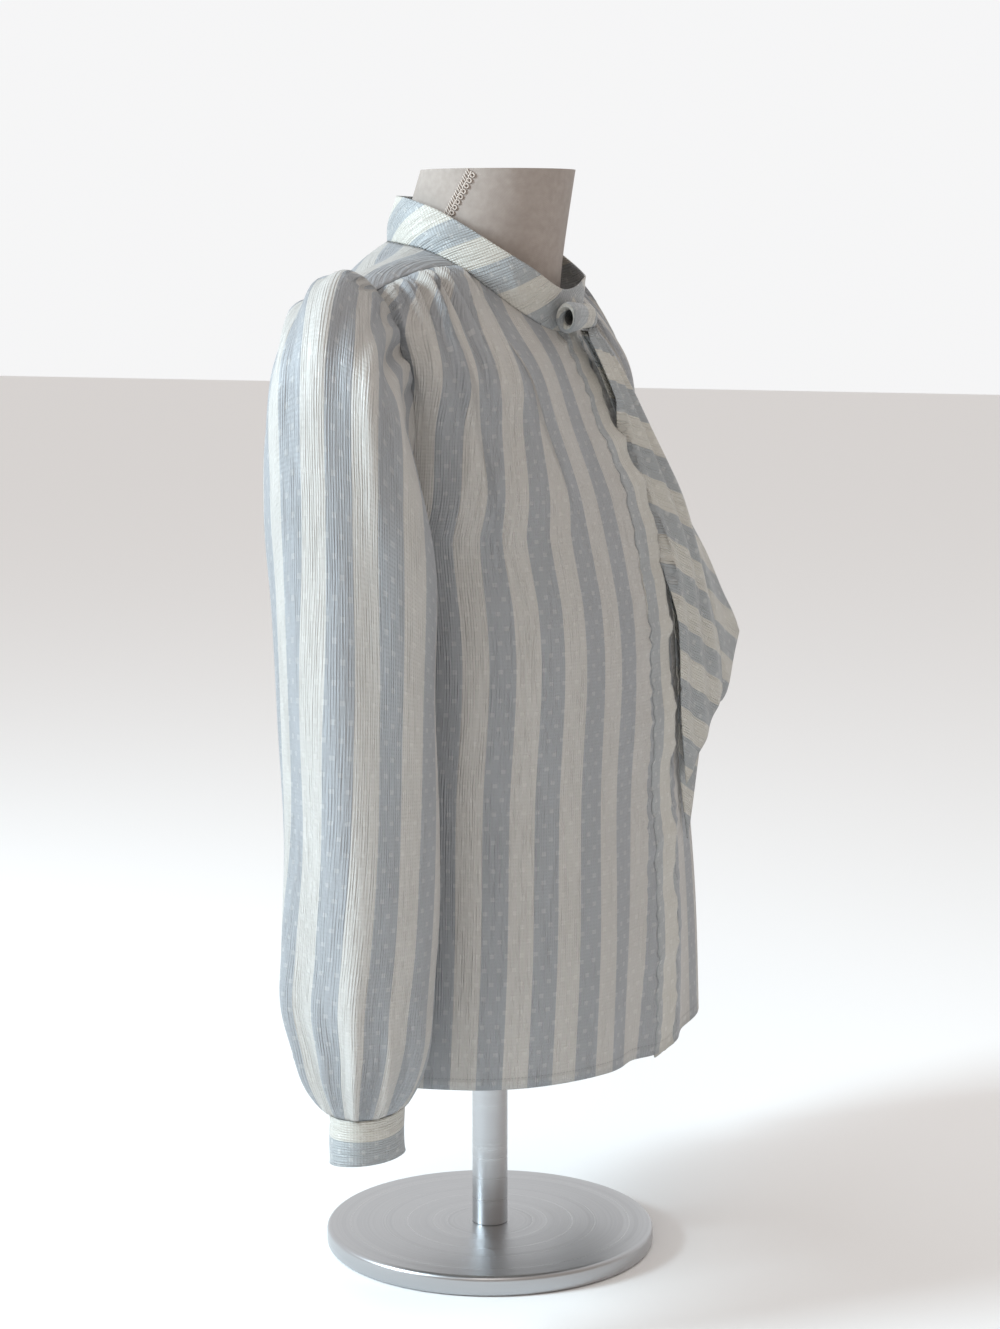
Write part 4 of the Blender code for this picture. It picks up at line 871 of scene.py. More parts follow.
def tail_surface(table, flutes, columns, rows, seed, hollow=0.0):
    """Centre of a tail of the tie, from the knot down; its end may be folded up between its corners."""
    table = np.array(table)
    edges = table.reshape(len(table), 2, 3)
    middle = edges.mean(axis=1)
    knots = chord_knots(middle)
    lines = spline(knots, edges, np.linspace(0, knots[-1], rows + 1))
    across = np.linspace(0, 1, columns + 1)[None, :, None]
    grid = lines[:, :1] * (1 - across) + lines[:, 1:] * across
    normals = surface_normals(grid)
    normals = np.where(normals[..., 1:2] > 0, -normals, normals)
    place = np.linspace(0, 1, columns + 1)[None, :]
    down = np.linspace(0, 1, rows + 1)[:, None]
    lift = np.zeros((rows + 1, columns + 1))
    for centre, half_width, height in flutes:
        lift += height * bump(place - centre, half_width) * (0.35 + 0.65 * np.sin(math.pi * (0.15 + 0.75 * down)))
    lift += fine_gathers(place, down * knots[-1], 0.0, 1.0, 5, 0.0022, 0.16, seed)
    grid = grid + normals * lift[..., None]
    grid[..., 2] += hollow * down**3 * bump(place - FAR_END_PLACE, FAR_END_WIDTH)
    return grid


def tuck_under_knot(grid):
    """Brings the first row of a tail up to the underside of the knot."""
    sections = np.array(KNOT_SECTIONS)
    x, y = grid[0, :, 0], grid[0, :, 1]
    middle_y, middle_z, depth, height = (np.interp(x, sections[:, 0], sections[:, k]) for k in (1, 2, 3, 4))
    across = np.clip((y - middle_y) / depth, -0.9, 0.9)
    grid[0, :, 2] = middle_z - height * np.sqrt(1 - across**2) - KNOT_SEAT
    return grid


def widened(grid, margin):
    """A grid with a strip added all round, so that what lies over its edges clears them too."""
    wide = np.concatenate([grid[:, :1], grid, grid[:, -1:]], axis=1)
    wide[:, 0] += unit(grid[:, 0] - grid[:, 1]) * margin
    wide[:, -1] += unit(grid[:, -1] - grid[:, -2]) * margin
    tall = np.concatenate([wide, wide[-1:]], axis=0)
    tall[-1] += unit(wide[-1] - wide[-2]) * margin
    return tall


def rest_on(grid, panels, clearance, tuck=0.0):
    """Brings a grid forward wherever it would lie closer than the clearance to the panels behind it,
    and lays its inner edge down on them below its first part if asked."""
    points, faces = [], []
    for panel in panels:
        rows, columns = panel.shape[:2]
        start = len(points)
        points += [tuple(map(float, p)) for p in panel.reshape(-1, 3)]
        for row in range(rows - 1):
            for column in range(columns - 1):
                corner = start + row * columns + column
                faces.append((corner, corner + 1, corner + columns + 1, corner + columns))
    tree = BVHTree.FromPolygons(points, faces)
    moved = grid.copy()
    for place in np.ndindex(grid.shape[:2]):
        x, _, z = grid[place]
        hit = tree.ray_cast(Vector((x, -1.0, z)), Vector((0.0, 1.0, 0.0)))[0]
        if hit is None:
            continue
        inner = max(0.0, 1 - place[1] / (0.30 * grid.shape[1])) ** 2
        laid = inner * min(max((0.672 - z) / 0.03, 0.0), 1.0) * min(max((z - 0.50) / 0.05, 0.0), 1.0) * tuck
        room = clearance + (0.0016 - clearance) * laid
        y = moved[place][1]
        moved[place][1] = min(y + (hit.y - room - y) * laid, hit.y - room)
    return moved


def add(tree, kind, inputs=None, **settings):
    """Adds a node with its settings; inputs maps sockets to values or to other nodes' outputs."""
    node = tree.nodes.new(kind)
    for key, value in settings.items():
        setattr(node, key, value)
    for key, value in (inputs or {}).items():
        if isinstance(value, bpy.types.NodeSocket):
            tree.links.new(value, node.inputs[key])
        else:
            node.inputs[key].default_value = value
    return node


def new_material(name):
    """An empty node material and its output."""
    material = bpy.data.materials.new(name)
    material.use_nodes = True
    tree = material.node_tree
    tree.nodes.clear()
    return material, tree, add(tree, "ShaderNodeOutputMaterial")


def woven_coordinates(tree):
    """Distances across and along the warp, in millimetres."""
    uv = add(tree, "ShaderNodeUVMap", uv_map="cloth").outputs[0]
    scaled = add(tree, "ShaderNodeVectorMath", {0: uv, "Scale": 1000.0}, operation="SCALE").outputs[0]
    parts = add(tree, "ShaderNodeSeparateXYZ", {0: scaled})
    return parts.outputs[0], parts.outputs[1]


def dobby_squares(tree, across, along):
    """Mask of small woven squares, 11 mm apart across the warp, in staggered rows 10.3 mm apart."""

    def math_node(operation, first, second=0.0):
        return add(tree, "ShaderNodeMath", {0: first, 1: second}, operation=operation).outputs[0]

    row = math_node("DIVIDE", along, 10.3)
    odd = math_node("MODULO", math_node("FLOOR", row), 2.0)
    shifted = math_node("ADD", math_node("DIVIDE", across, 11.0), math_node("MULTIPLY", math_node("ABSOLUTE", odd), 0.5))
    to_side = math_node("ABSOLUTE", math_node("SUBTRACT", math_node("FRACT", shifted), 0.5))
    to_row = math_node("ABSOLUTE", math_node("SUBTRACT", math_node("FRACT", row), 0.5))
    narrow = math_node("LESS_THAN", to_side, 1.7 / 11.0)
    low = math_node("LESS_THAN", to_row, 1.5 / 10.3)
    return math_node("MULTIPLY", narrow, low)


def striped_crepe_satin(name, translucent, cream, blue):
    """Polyester crepe with satin stripes: the warp's fine crinkle gives long streaks of sheen, and small
    squares woven in satin stand a little lighter and smoother. Thin enough to let light through."""
    material, tree, output = new_material(name)
    across, along = woven_coordinates(tree)

    def math_node(operation, first, second=0.0, third=0.0, clamp=False):
        inputs = {0: first, 1: second, 2: third}
        return add(tree, "ShaderNodeMath", inputs, operation=operation, use_clamp=clamp).outputs[0]

    # Cream and blue-grey stripes, each 19.5 mm wide
    part = math_node("FRACT", math_node("DIVIDE", across, 39.0))
    inside = math_node("SUBTRACT", 0.25, math_node("ABSOLUTE", math_node("SUBTRACT", part, 0.25)))
    is_cream = math_node("MULTIPLY_ADD", inside, 110.0, 0.5, clamp=True)
    squares = dobby_squares(tree, across, along)
    # Crinkle of the crepe: ribs over 1 mm apart and 26 mm long, drawn coarser than the yarn to show
    streak_place = add(
        tree,
        "ShaderNodeCombineXYZ",
        {0: math_node("DIVIDE", across, 1.05), 1: math_node("DIVIDE", along, 34.0)},
    ).outputs[0]
    streaks = add(tree, "ShaderNodeTexNoise", {"Vector": streak_place, "Scale": 1.0, "Detail": 2.0}).outputs["Fac"]
    # Weft threads, drawn 2.6 mm apart
    weft = math_node("SINE", math_node("MULTIPLY", along, 2 * math.pi / 2.6))
    slow_place = add(
        tree,
        "ShaderNodeCombineXYZ",
        {0: math_node("DIVIDE", across, 45.0), 1: math_node("DIVIDE", along, 70.0)},
    ).outputs[0]
    slow = add(tree, "ShaderNodeTexNoise", {"Vector": slow_place, "Scale": 1.0, "Detail": 1.0}).outputs["Fac"]

    base = add(
        tree,
        "ShaderNodeMix",
        {0: is_cream, 6: linear(blue), 7: linear(cream)},
        data_type="RGBA",
    ).outputs[2]
    lighter = add(
        tree,
        "ShaderNodeMix",
        {0: math_node("MULTIPLY", squares, 0.17), 6: base, 7: linear("#f4f3ee")},
        data_type="RGBA",
    ).outputs[2]
    shade = math_node("MULTIPLY_ADD", streaks, 0.10, 0.95)
    shade = math_node("MULTIPLY", shade, math_node("MULTIPLY_ADD", slow, 0.08, 0.96))
    shade = math_node("MULTIPLY_ADD", weft, 0.008, shade)
    # Narrow hem turned up along the lower edge: doubled cloth, then a row of 2 mm stitches
    in_hem = math_node("MULTIPLY", math_node("GREATER_THAN", along, -1.0), math_node("LESS_THAN", along, 8.0))
    on_line = math_node("LESS_THAN", math_node("ABSOLUTE", math_node("SUBTRACT", along, 8.2)), 0.45)
    stitch = math_node("GREATER_THAN", math_node("FRACT", math_node("DIVIDE", across, 2.6)), 0.25)
    stitched = math_node("MULTIPLY", on_line, stitch)
    shade = math_node("MULTIPLY_ADD", in_hem, -0.07, shade)
    shade = math_node("MULTIPLY_ADD", stitched, -0.22, shade)
    # Painted shade: deep inside the roll of the tie, where the layers of cloth keep the light out, the colour is
    # darkened to a tenth
    shade = math_node("MULTIPLY", shade, math_node("MULTIPLY_ADD", math_node("GREATER_THAN", along, 4000.0), -0.9, 1.0))
    colour = add(
        tree, "ShaderNodeVectorMath", {0: lighter, "Scale": shade}, operation="SCALE"
    ).outputs[0]
    # Warp ribs, drawn 1.9 mm apart
    ribs = math_node("SINE", math_node("MULTIPLY_ADD", slow, 9.0, math_node("MULTIPLY", across, 2 * math.pi / 1.9)))
    height = math_node("MULTIPLY_ADD", ribs, 0.11, streaks)
    height = math_node("MULTIPLY_ADD", squares, 0.35, height)
    height = math_node("MULTIPLY_ADD", on_line, -0.8, height)
    height = math_node("MULTIPLY_ADD", weft, 0.05, height)
    relief = add(tree, "ShaderNodeBump", {"Strength": 0.9, "Distance": 0.0015, "Height": height}).outputs[0]
    rough = math_node("MULTIPLY_ADD", squares, -0.12, 0.46)
    cloth = add(
        tree,
        "ShaderNodeBsdfPrincipled",
        {
            "Base Color": colour,
            "Roughness": rough,
            "IOR": 1.54,
            "Specular IOR Level": 1.0,
            "Sheen Weight": 0.25,
            "Sheen Roughness": 0.4,
            "Normal": relief,
        },
    ).outputs[0]
    through = add(tree, "ShaderNodeBsdfTranslucent", {"Color": colour, "Normal": relief}).outputs[0]
    mixed = add(tree, "ShaderNodeMixShader", {0: translucent, 1: cloth, 2: through}).outputs[0]
    tree.links.new(mixed, output.inputs[0])
    return material


def linen_cover():
    """Plain weave linen stretched over the form: matt, with slubs and a weave about 1 mm coarse."""
    material, tree, output = new_material("linen_cover")
    place = add(tree, "ShaderNodeTexCoord").outputs["Object"]
    parts = add(tree, "ShaderNodeSeparateXYZ", {0: place})
    turn = add(tree, "ShaderNodeMath", {0: parts.outputs[0], 1: parts.outputs[1]}, operation="ADD").outputs[0]
    threads = add(tree, "ShaderNodeMath", {0: turn, 1: 2 * math.pi / 0.0011}, operation="MULTIPLY").outputs[0]
    courses = add(
        tree, "ShaderNodeMath", {0: parts.outputs[2], 1: 2 * math.pi / 0.0012}, operation="MULTIPLY"
    ).outputs[0]
    weave = add(
        tree,
        "ShaderNodeMath",
        {
            0: add(tree, "ShaderNodeMath", {0: threads}, operation="SINE").outputs[0],
            1: add(tree, "ShaderNodeMath", {0: courses}, operation="SINE").outputs[0],
        },
        operation="MULTIPLY",
    ).outputs[0]
    slubs = add(tree, "ShaderNodeTexNoise", {"Vector": place, "Scale": 180.0, "Detail": 3.0}).outputs["Fac"]
    soft = add(tree, "ShaderNodeTexNoise", {"Vector": place, "Scale": 14.0, "Detail": 2.0}).outputs["Fac"]
    tone = add(tree, "ShaderNodeMath", {0: slubs, 1: soft}, operation="ADD").outputs[0]
    fade = add(tree, "ShaderNodeMapRange", {0: tone, 1: 0.6, 2: 1.4}).outputs[0]
    colour = add(
        tree, "ShaderNodeMix", {0: fade, 6: linear("#958b84"), 7: linear("#aaa099")}, data_type="RGBA"
    ).outputs[2]
    height = add(tree, "ShaderNodeMath", {0: weave, 1: 0.35, 2: slubs}, operation="MULTIPLY_ADD").outputs[0]
    relief = add(tree, "ShaderNodeBump", {"Strength": 0.25, "Distance": 0.0004, "Height": height}).outputs[0]
    cloth = add(
        tree,
        "ShaderNodeBsdfPrincipled",
        {"Base Color": colour, "Roughness": 0.85, "Sheen Weight": 0.15, "Normal": relief},
    ).outputs[0]
    tree.links.new(cloth, output.inputs[0])
    return material


def gimp_braid():
    """Twisted viscose gimp: soft satin cords, their tone varied between darker and lighter by fine noise."""
    material, tree, output = new_material("gimp_braid")
    place = add(tree, "ShaderNodeTexCoord").outputs["Object"]
    fibres = add(tree, "ShaderNodeTexNoise", {"Vector": place, "Scale": 1400.0, "Detail": 2.0}).outputs["Fac"]
    colour = add(
        tree, "ShaderNodeMix", {0: fibres, 6: linear("#a4958b"), 7: linear("#e0d6cd")}, data_type="RGBA"
    ).outputs[2]
    relief = add(tree, "ShaderNodeBump", {"Strength": 0.4, "Distance": 0.0003, "Height": fibres}).outputs[0]
    cord = add(
        tree,
        "ShaderNodeBsdfPrincipled",
        {"Base Color": colour, "Roughness": 0.55, "Sheen Weight": 0.2, "Normal": relief},
    ).outputs[0]
    tree.links.new(cord, output.inputs[0])
    return material


def brushed_steel():
    """Steel turned and brushed round its axis, which leaves fine rings and a drawn-out gloss."""
    material, tree, output = new_material("brushed_steel")
    place = add(tree, "ShaderNodeTexCoord").outputs["Object"]
    parts = add(tree, "ShaderNodeSeparateXYZ", {0: place})
    squared = add(
        tree, "ShaderNodeMath", {0: parts.outputs[0], 1: parts.outputs[0]}, operation="MULTIPLY"
    ).outputs[0]
    radius = add(
        tree, "ShaderNodeMath", {0: parts.outputs[1], 1: parts.outputs[1], 2: squared}, operation="MULTIPLY_ADD"
    ).outputs[0]
    radius = add(tree, "ShaderNodeMath", {0: radius, 1: 0.5}, operation="POWER").outputs[0]
    rings = add(tree, "ShaderNodeCombineXYZ", {0: radius, 2: parts.outputs[2]}).outputs[0]
    grain = add(tree, "ShaderNodeTexNoise", {"Vector": rings, "Scale": 900.0, "Detail": 2.0}).outputs["Fac"]
    rough = add(tree, "ShaderNodeMapRange", {0: grain, 1: 0.3, 2: 0.7, 3: 0.26, 4: 0.42}).outputs[0]
    relief = add(tree, "ShaderNodeBump", {"Strength": 0.12, "Distance": 0.0002, "Height": grain}).outputs[0]
    steel = add(
        tree,
        "ShaderNodeBsdfPrincipled",
        {"Base Color": linear("#b9babc"), "Metallic": 1.0, "Roughness": rough, "Normal": relief},
    ).outputs[0]
    tree.links.new(steel, output.inputs[0])
    return material


def pearl_button():
    """Moulded polyester button with a pale, slightly clouded face and a soft gloss."""
    material, tree, output = new_material("polyester_button")
    place = add(tree, "ShaderNodeTexCoord").outputs["Object"]
    cloud = add(tree, "ShaderNodeTexNoise", {"Vector": place, "Scale": 320.0, "Detail": 2.0}).outputs["Fac"]
    colour = add(
        tree, "ShaderNodeMix", {0: cloud, 6: linear("#a9b0ba"), 7: linear("#dcdfe2")}, data_type="RGBA"
    ).outputs[2]
    button = add(
        tree,
        "ShaderNodeBsdfPrincipled",
        {"Base Color": colour, "Roughness": 0.28, "IOR": 1.55, "Coat Weight": 0.2},
    ).outputs[0]
    tree.links.new(button, output.inputs[0])
    return material


def studio_floor():
    """Matt white paper."""
    material, tree, output = new_material("white_paper")
    paper = add(
        tree, "ShaderNodeBsdfPrincipled", {"Base Color": linear("#fbfbfb"), "Roughness": 0.95}
    ).outputs[0]
    tree.links.new(paper, output.inputs[0])
    return material


def make_camera():
    """The photograph's view: from the wearer's right, a little above the middle of the blouse."""
    data = bpy.data.cameras.new("camera")
    camera = bpy.data.objects.new("camera", data)
    bpy.context.scene.collection.objects.link(camera)
    sin, cos = math.sin(CAMERA_AZIMUTH), math.cos(CAMERA_AZIMUTH)
    camera.location = (sin * CAMERA_DISTANCE, -cos * CAMERA_DISTANCE, CAMERA_HEIGHT)
    level = math.cos(CAMERA_PITCH)
    forward = Vector((-sin * level, cos * level, -math.sin(CAMERA_PITCH)))
    camera.rotation_mode = "QUATERNION"
    camera.rotation_quaternion = forward.to_track_quat("-Z", "Y")
    data.lens = CAMERA_LENS
    data.sensor_width = 36.0
    data.shift_x = CAMERA_SHIFT
    data.clip_start = 0.05
    data.clip_end = 60.0
    bpy.context.scene.camera = camera


def area_light(name, place, target, size, power, colour):
    """A soft box at a place, turned to a target."""
    data = bpy.data.lights.new(name, "AREA")
    data.shape = "RECTANGLE"
    data.size, data.size_y = size
    data.energy = power
    data.color = colour
    light = bpy.data.objects.new(name, data)
    light.location = place
    light.rotation_mode = "QUATERNION"
    light.rotation_quaternion = (Vector(target) - Vector(place)).to_track_quat("-Z", "Y")
    bpy.context.scene.collection.objects.link(light)


def make_studio():
    """A pale floor, a pale room that is darker behind the camera, and a window light from the left."""
    world = bpy.data.worlds.new("room")
    bpy.context.scene.world = world
    world.use_nodes = True
    tree = world.node_tree
    background = tree.nodes["Background"]
    place = add(tree, "ShaderNodeTexCoord").outputs["Generated"]
    towards = add(tree, "ShaderNodeVectorMath", {0: place, 1: (0.88, 0.42, 0.40)}, operation="DOT_PRODUCT").outputs[1]
    share = add(tree, "ShaderNodeMapRange", {0: towards, 1: -0.1, 2: 0.75}).outputs[0]
    room = add(
        tree, "ShaderNodeMix", {0: share, 6: (0.475, 0.415, 0.375, 1.0), 7: (0.92, 0.92, 0.925, 1.0)}, data_type="RGBA"
    ).outputs[2]
    tree.links.new(room, background.inputs[0])
    area_light("fill", (-1.9, -0.5, 2.4), (0.0, 0.0, 0.6), (1.2, 1.2), 12.0, (1.0, 0.96, 0.92))
    area_light("window", (-1.52, 1.68, 1.66), (-0.1, 0.0, 0.5), (0.8, 1.1), 84.0, (0.75, 0.91, 1.0))
    bpy.context.scene.view_settings.view_transform = "Standard"
    mesh = bpy.data.meshes.new("floor")
    reach = 14.0
    mesh.from_pydata([(-reach, -reach, 0), (reach, -reach, 0), (reach, reach, 0), (-reach, reach, 0)], [], [(0, 1, 2, 3)])
    mesh.materials.append(studio_floor())
    floor = bpy.data.objects.new("floor", mesh)
    bpy.context.scene.collection.objects.link(floor)


def make_body(satin):
    """Both fronts with their plackets, the back, the yoke and the sleeves with their cuffs."""
    front_rows, low = body_rows(True)
    back_rows, back_low = body_rows(False)
    panel_start = PLACKET_WIDTH - OVERLAP + SEAM_GAP
    front_widths = np.linspace(panel_start, FRONT_WIDTH, 116)
    placket_widths = np.linspace(-OVERLAP, PLACKET_WIDTH - OVERLAP, 22)
    back_widths = np.linspace(-BACK_WIDTH, BACK_WIDTH, 231)
    back_rows = np.concatenate([np.linspace(0, back_rows[back_low], low + 1), back_rows[back_low + 1 :]])

    right_front, front_u = front_surface(front_widths, front_rows)
    left_front, left_u = front_surface(front_widths, front_rows, LAP_DEPTH, LEFT_PHASE, LEFT_PULL)
    right_placket, placket_u = front_surface(placket_widths, front_rows)
    left_placket, _ = front_surface(placket_widths, front_rows, LAP_DEPTH, LEFT_PHASE, LEFT_PULL)
    left_placket = mirror(left_placket)
    back = back_surface(back_widths, back_rows)
    join_side(right_front, back, low)
    other_side = mirror(back)
    join_side(left_front, other_side, low)
    back = mirror(other_side)
    left_front = mirror(left_front)
    yoke = yoke_surface(34, 60, 30)

    up = right_front[low:, -1]
    over = yoke[-1, :35]
    down = back[low:, 0][::-1]
    edge = np.concatenate([up[:-1], over[:-1], down])
    loop = even(edge, np.arange(190) / 190)
    right_sleeve, place, sleeve_rows, sleeve_u = sleeve_surface(loop, 120)
    left_sleeve, _, _, left_sleeve_u = sleeve_surface(loop, 120, 0.4, LEFT_SLEEVE_BACK, 47)
    cuff = cuff_surface(place, 14)

    front_v = np.broadcast_to(front_rows[:, None], right_front.shape[:2])
    placket_v = np.broadcast_to(front_rows[:, None], right_placket.shape[:2])
    back_u = np.broadcast_to(back_widths + STRIPE / 2, back.shape[:2])
    back_v = np.broadcast_to(back_rows[:, None], back.shape[:2])
    pieces = {}

    def sheet(name, grid, u, v, sides, thickness=CLOTH, closed=False, flip=False):
        material, slot = satin[name]
        obj = cloth_object(name + "_cloth", pull_in(grid, sides), u, v, thickness, material, closed, flip)
        dress(obj, name)
        pieces[name] = obj

    sheet("right_front", right_front, front_u, front_v, ("end", "last"), flip=True)
    sheet("left_front", left_front, left_u[:, ::-1], front_v, ("end", "first"), flip=True)
    sheet("right_placket", right_placket, placket_u, placket_v, ("end",), DOUBLE_CLOTH, flip=True)
    sheet("left_placket", left_placket, placket_u[:, ::-1], placket_v, ("end",), DOUBLE_CLOTH, flip=True)
    sheet("back_panel", back, back_u, back_v, ("end", "first", "last"), flip=True)

    slope = 0.797 - 0.19 * np.abs(yoke[..., 0])
    yoke_u = yoke[..., 1] + np.maximum(slope - yoke[..., 2], 0.0) * 0.9 + 0.8 * STRIPE
    yoke_v = yoke[..., 0] + 1.0
    sheet("yoke", yoke, yoke_u, yoke_v, ("start", "end", "first", "last"))

    turn = np.append(place, 1.0)
    sleeve_v = np.broadcast_to(-sleeve_rows[:, None], sleeve_u.shape)
    sheet("right_sleeve", right_sleeve, sleeve_u, sleeve_v, ("start", "end"), closed=True)
    sheet("left_sleeve", mirror(left_sleeve), left_sleeve_u[:, ::-1], sleeve_v, ("start", "end"), closed=True)

    heights = np.linspace(0, CUFF_HEIGHT, 15)
    cuff_u = np.broadcast_to((STRIPE - CUFF_CREAM + heights)[:, None], (15, len(turn)))
    cuff_v = np.broadcast_to(turn * 0.18 + 1.0, (15, len(turn)))
    left_cuff = mirror(cuff + np.array([0.0, LEFT_SLEEVE_BACK, 0.0]))
    sheet("right_cuff", cuff, cuff_u, cuff_v, ("start",), DOUBLE_CLOTH, closed=True)
    sheet("left_cuff", left_cuff, cuff_u[:, ::-1], cuff_v[:, ::-1], ("start",), DOUBLE_CLOTH, closed=True)

    on_front = np.concatenate([neckline(np.linspace(0, NECK_SPLIT, 60)), yoke[0, 1:95]])
    right_neck = even(on_front, np.linspace(0, 1, 151))
    left_neck = right_neck[1:-1][::-1] * np.array([-1.0, 1.0, 1.0])
    make_collar(satin, np.concatenate([right_neck, left_neck]))
    make_tie(satin, [right_front, right_placket, left_front, left_placket])


def make_collar(satin, neck):
    """The collar band, cut on the bias, so its stripes run at about 45 degrees to its length."""
    grid = collar_surface(neck, 22)
    around = chord_knots(np.concatenate([neck, neck[:1]]))
    height = np.linspace(0, 1, 23)[:, None] * 0.034
    signed = np.where(around < around[-1] / 2, around, around - around[-1])[None, :]
    lean = 0.707
    u = (np.abs(signed) + height) * lean
    v = (np.abs(signed) - height) * lean + 1.0
    material, slot = satin["collar_band"]
    obj = cloth_object("collar_band_cloth", pull_in(grid, ("start",)), u, v, DOUBLE_CLOTH, material, closed=True, flip=True)
    dress(obj, "collar_band")


def make_tie(satin, fronts):
    """The two tails and the knot with its rolled opening."""
    far = rest_on(tail_surface(FAR_TAIL, FAR_FLUTES, 56, 104, 61, FAR_END_HOLLOW), fronts, TAIL_CLEARANCE)
    far = tuck_under_knot(far)
    near = tail_surface(NEAR_TAIL, NEAR_FLUTES, 56, 104, 62)
    near = rest_on(near, fronts + [widened(far, TAIL_MARGIN)], TAIL_CLEARANCE)
    near = rest_on(near, fronts, TAIL_CLEARANCE, 1.0)
    near = tuck_under_knot(near)
    for name, grid, shift in (("tie_tail_far", far, 0.010), ("tie_tail_near", near, 0.0)):
        x, z = grid[..., 0], grid[..., 2]
        slant = TAIL_SLANT_TOP + (TAIL_SLANT_LOW - TAIL_SLANT_TOP) * np.clip((0.70 - z) / 0.15, 0, 1)
        u = (z + x * np.tan(slant)) * 0.906 + shift
        v = x * 0.906 - z * 0.42 + 1.0
        material, slot = satin[name]
        obj = cloth_object(name + "_cloth", grid, u, v, 0.0008, material)
        dress(obj, name)
    make_knot(satin)


def make_knot(satin, count=64):
    """A soft roll of the tie: its open end turns out in a rounded lip."""
    table = np.array(KNOT_SECTIONS)
    reach = chord_knots(table[:, :3])
    outer_rows = 30
    sections = spline(reach, table, np.linspace(0, reach[-1], outer_rows))
    angle = 2 * math.pi * np.arange(count) / count
    cos, sin = np.cos(angle), np.sin(angle)
    wrinkle = 1 + 0.035 * np.sin(5 * angle + 0.8) + 0.02 * np.sin(11 * angle)
    rings = []
    for x, y, z, depth, height, hole in sections[::-1]:
        along = 0.5 + 0.5 * (x - table[0, 0]) / (table[-1, 0] - table[0, 0])
        shape = 1 + (wrinkle - 1) * along
        rings.append(np.stack([np.full(count, x), y + depth * cos * shape * 0.97, z + height * sin * shape * 0.97], axis=-1))
    x, y, z, depth, height, hole = table[0]
    for step in range(1, 9):
        turn = math.pi * step / 8
        share = 0.97 - (0.97 - hole) * (1 - math.cos(turn)) / 2
        rings.append(np.stack([np.full(count, x - 0.0012 * math.sin(turn)), y + depth * share * cos, z + height * share * sin], axis=-1))
    inner = spline(reach, table, np.linspace(0.002, reach[-1] * 0.7, 16))
    for step, (x, y, z, depth, height, hole) in enumerate(inner):
        hole = hole * (1 - 0.6 * step / 15)
        rings.append(np.stack([np.full(count, x), y + depth * hole * cos, z + height * hole * sin], axis=-1))
    grid = np.array(rings)
    turn = np.append(angle, 2 * math.pi) * 0.010
    path = chord_knots(grid[:, 0])
    u = np.broadcast_to((path[::-1])[:, None], (len(path), count + 1)) + turn[None, :] * 0.4 + 0.012
    # Rows deep inside the roll get their v raised by 4 m, so that the satin paints shade over them
    painted_shade_rows = np.clip(np.arange(len(path)) - outer_rows - 9, 0, 1)
    v = np.broadcast_to(turn[None, :], u.shape) + 1.0 + 4.0 * painted_shade_rows[:, None]
    rows, columns = grid.shape[:2]
    material, slot = satin["tie_knot"]
    cap = [grid[0].mean(axis=0), grid[-1].mean(axis=0)]
    points = np.concatenate([grid.reshape(-1, 3), np.array(cap)])
    faces, uv = [], []
    for r in range(rows - 1):
        for c in range(columns):
            after = (c + 1) % columns
            faces.append((r * columns + c, (r + 1) * columns + c, (r + 1) * columns + after, r * columns + after))
            uv += [(u[r, c], v[r, c]), (u[r + 1, c], v[r + 1, c]), (u[r + 1, c + 1], v[r + 1, c + 1]), (u[r, c + 1], v[r, c + 1])]
    for c in range(columns):
        after = (c + 1) % columns
        faces.append((c, after, rows * columns))
        uv += [(u[0, c], v[0, c]), (u[0, c + 1], v[0, c + 1]), (u[0, c], v[0, c])]
        end = (rows - 1) * columns
        faces.append((end + after, end + c, rows * columns + 1))
        uv += [(u[-1, c + 1], v[-1, c + 1]), (u[-1, c], v[-1, c]), (u[-1, c], v[-1, c])]
    obj = mesh_object("tie_knot_cloth", points, faces, uv, material)
    dress(obj, "tie_knot")


def form_ring(section, count):
    """One section of the dress form, counter-clockwise from the front."""
    z_front, z_side, z_back, half_width, front_y, back_y, square = section
    angle = 2 * math.pi * np.arange(count) / count
    sin, cos = np.sin(angle), np.cos(angle)
    across = np.sign(sin) * np.abs(sin) ** (2 / square)
    along = np.sign(cos) * np.abs(cos) ** (2 / square)
    centre = (front_y + back_y) / 2
    depth = (back_y - front_y) / 2
    z_end = np.where(cos > 0, z_front, z_back)
    z = z_side + (z_end - z_side) * cos**2
    return np.stack([half_width * across, centre - depth * along, z], axis=-1)


def loft_object(name, rings, material):
    """A closed smooth solid through rings, with flat ends."""
    rings = np.array(rings)
    rows, columns = rings.shape[:2]
    faces = [
        (r * columns + c, r * columns + (c + 1) % columns, (r + 1) * columns + (c + 1) % columns, (r + 1) * columns + c)
        for r in range(rows - 1)
        for c in range(columns)
    ]
    faces.append(tuple(reversed(range(columns))))
    faces.append(tuple((rows - 1) * columns + c for c in range(columns)))
    obj = mesh_object(name, rings.reshape(-1, 3), faces, None, material)
    obj.data.set_sharp_from_angle(angle=math.radians(40))
    return obj


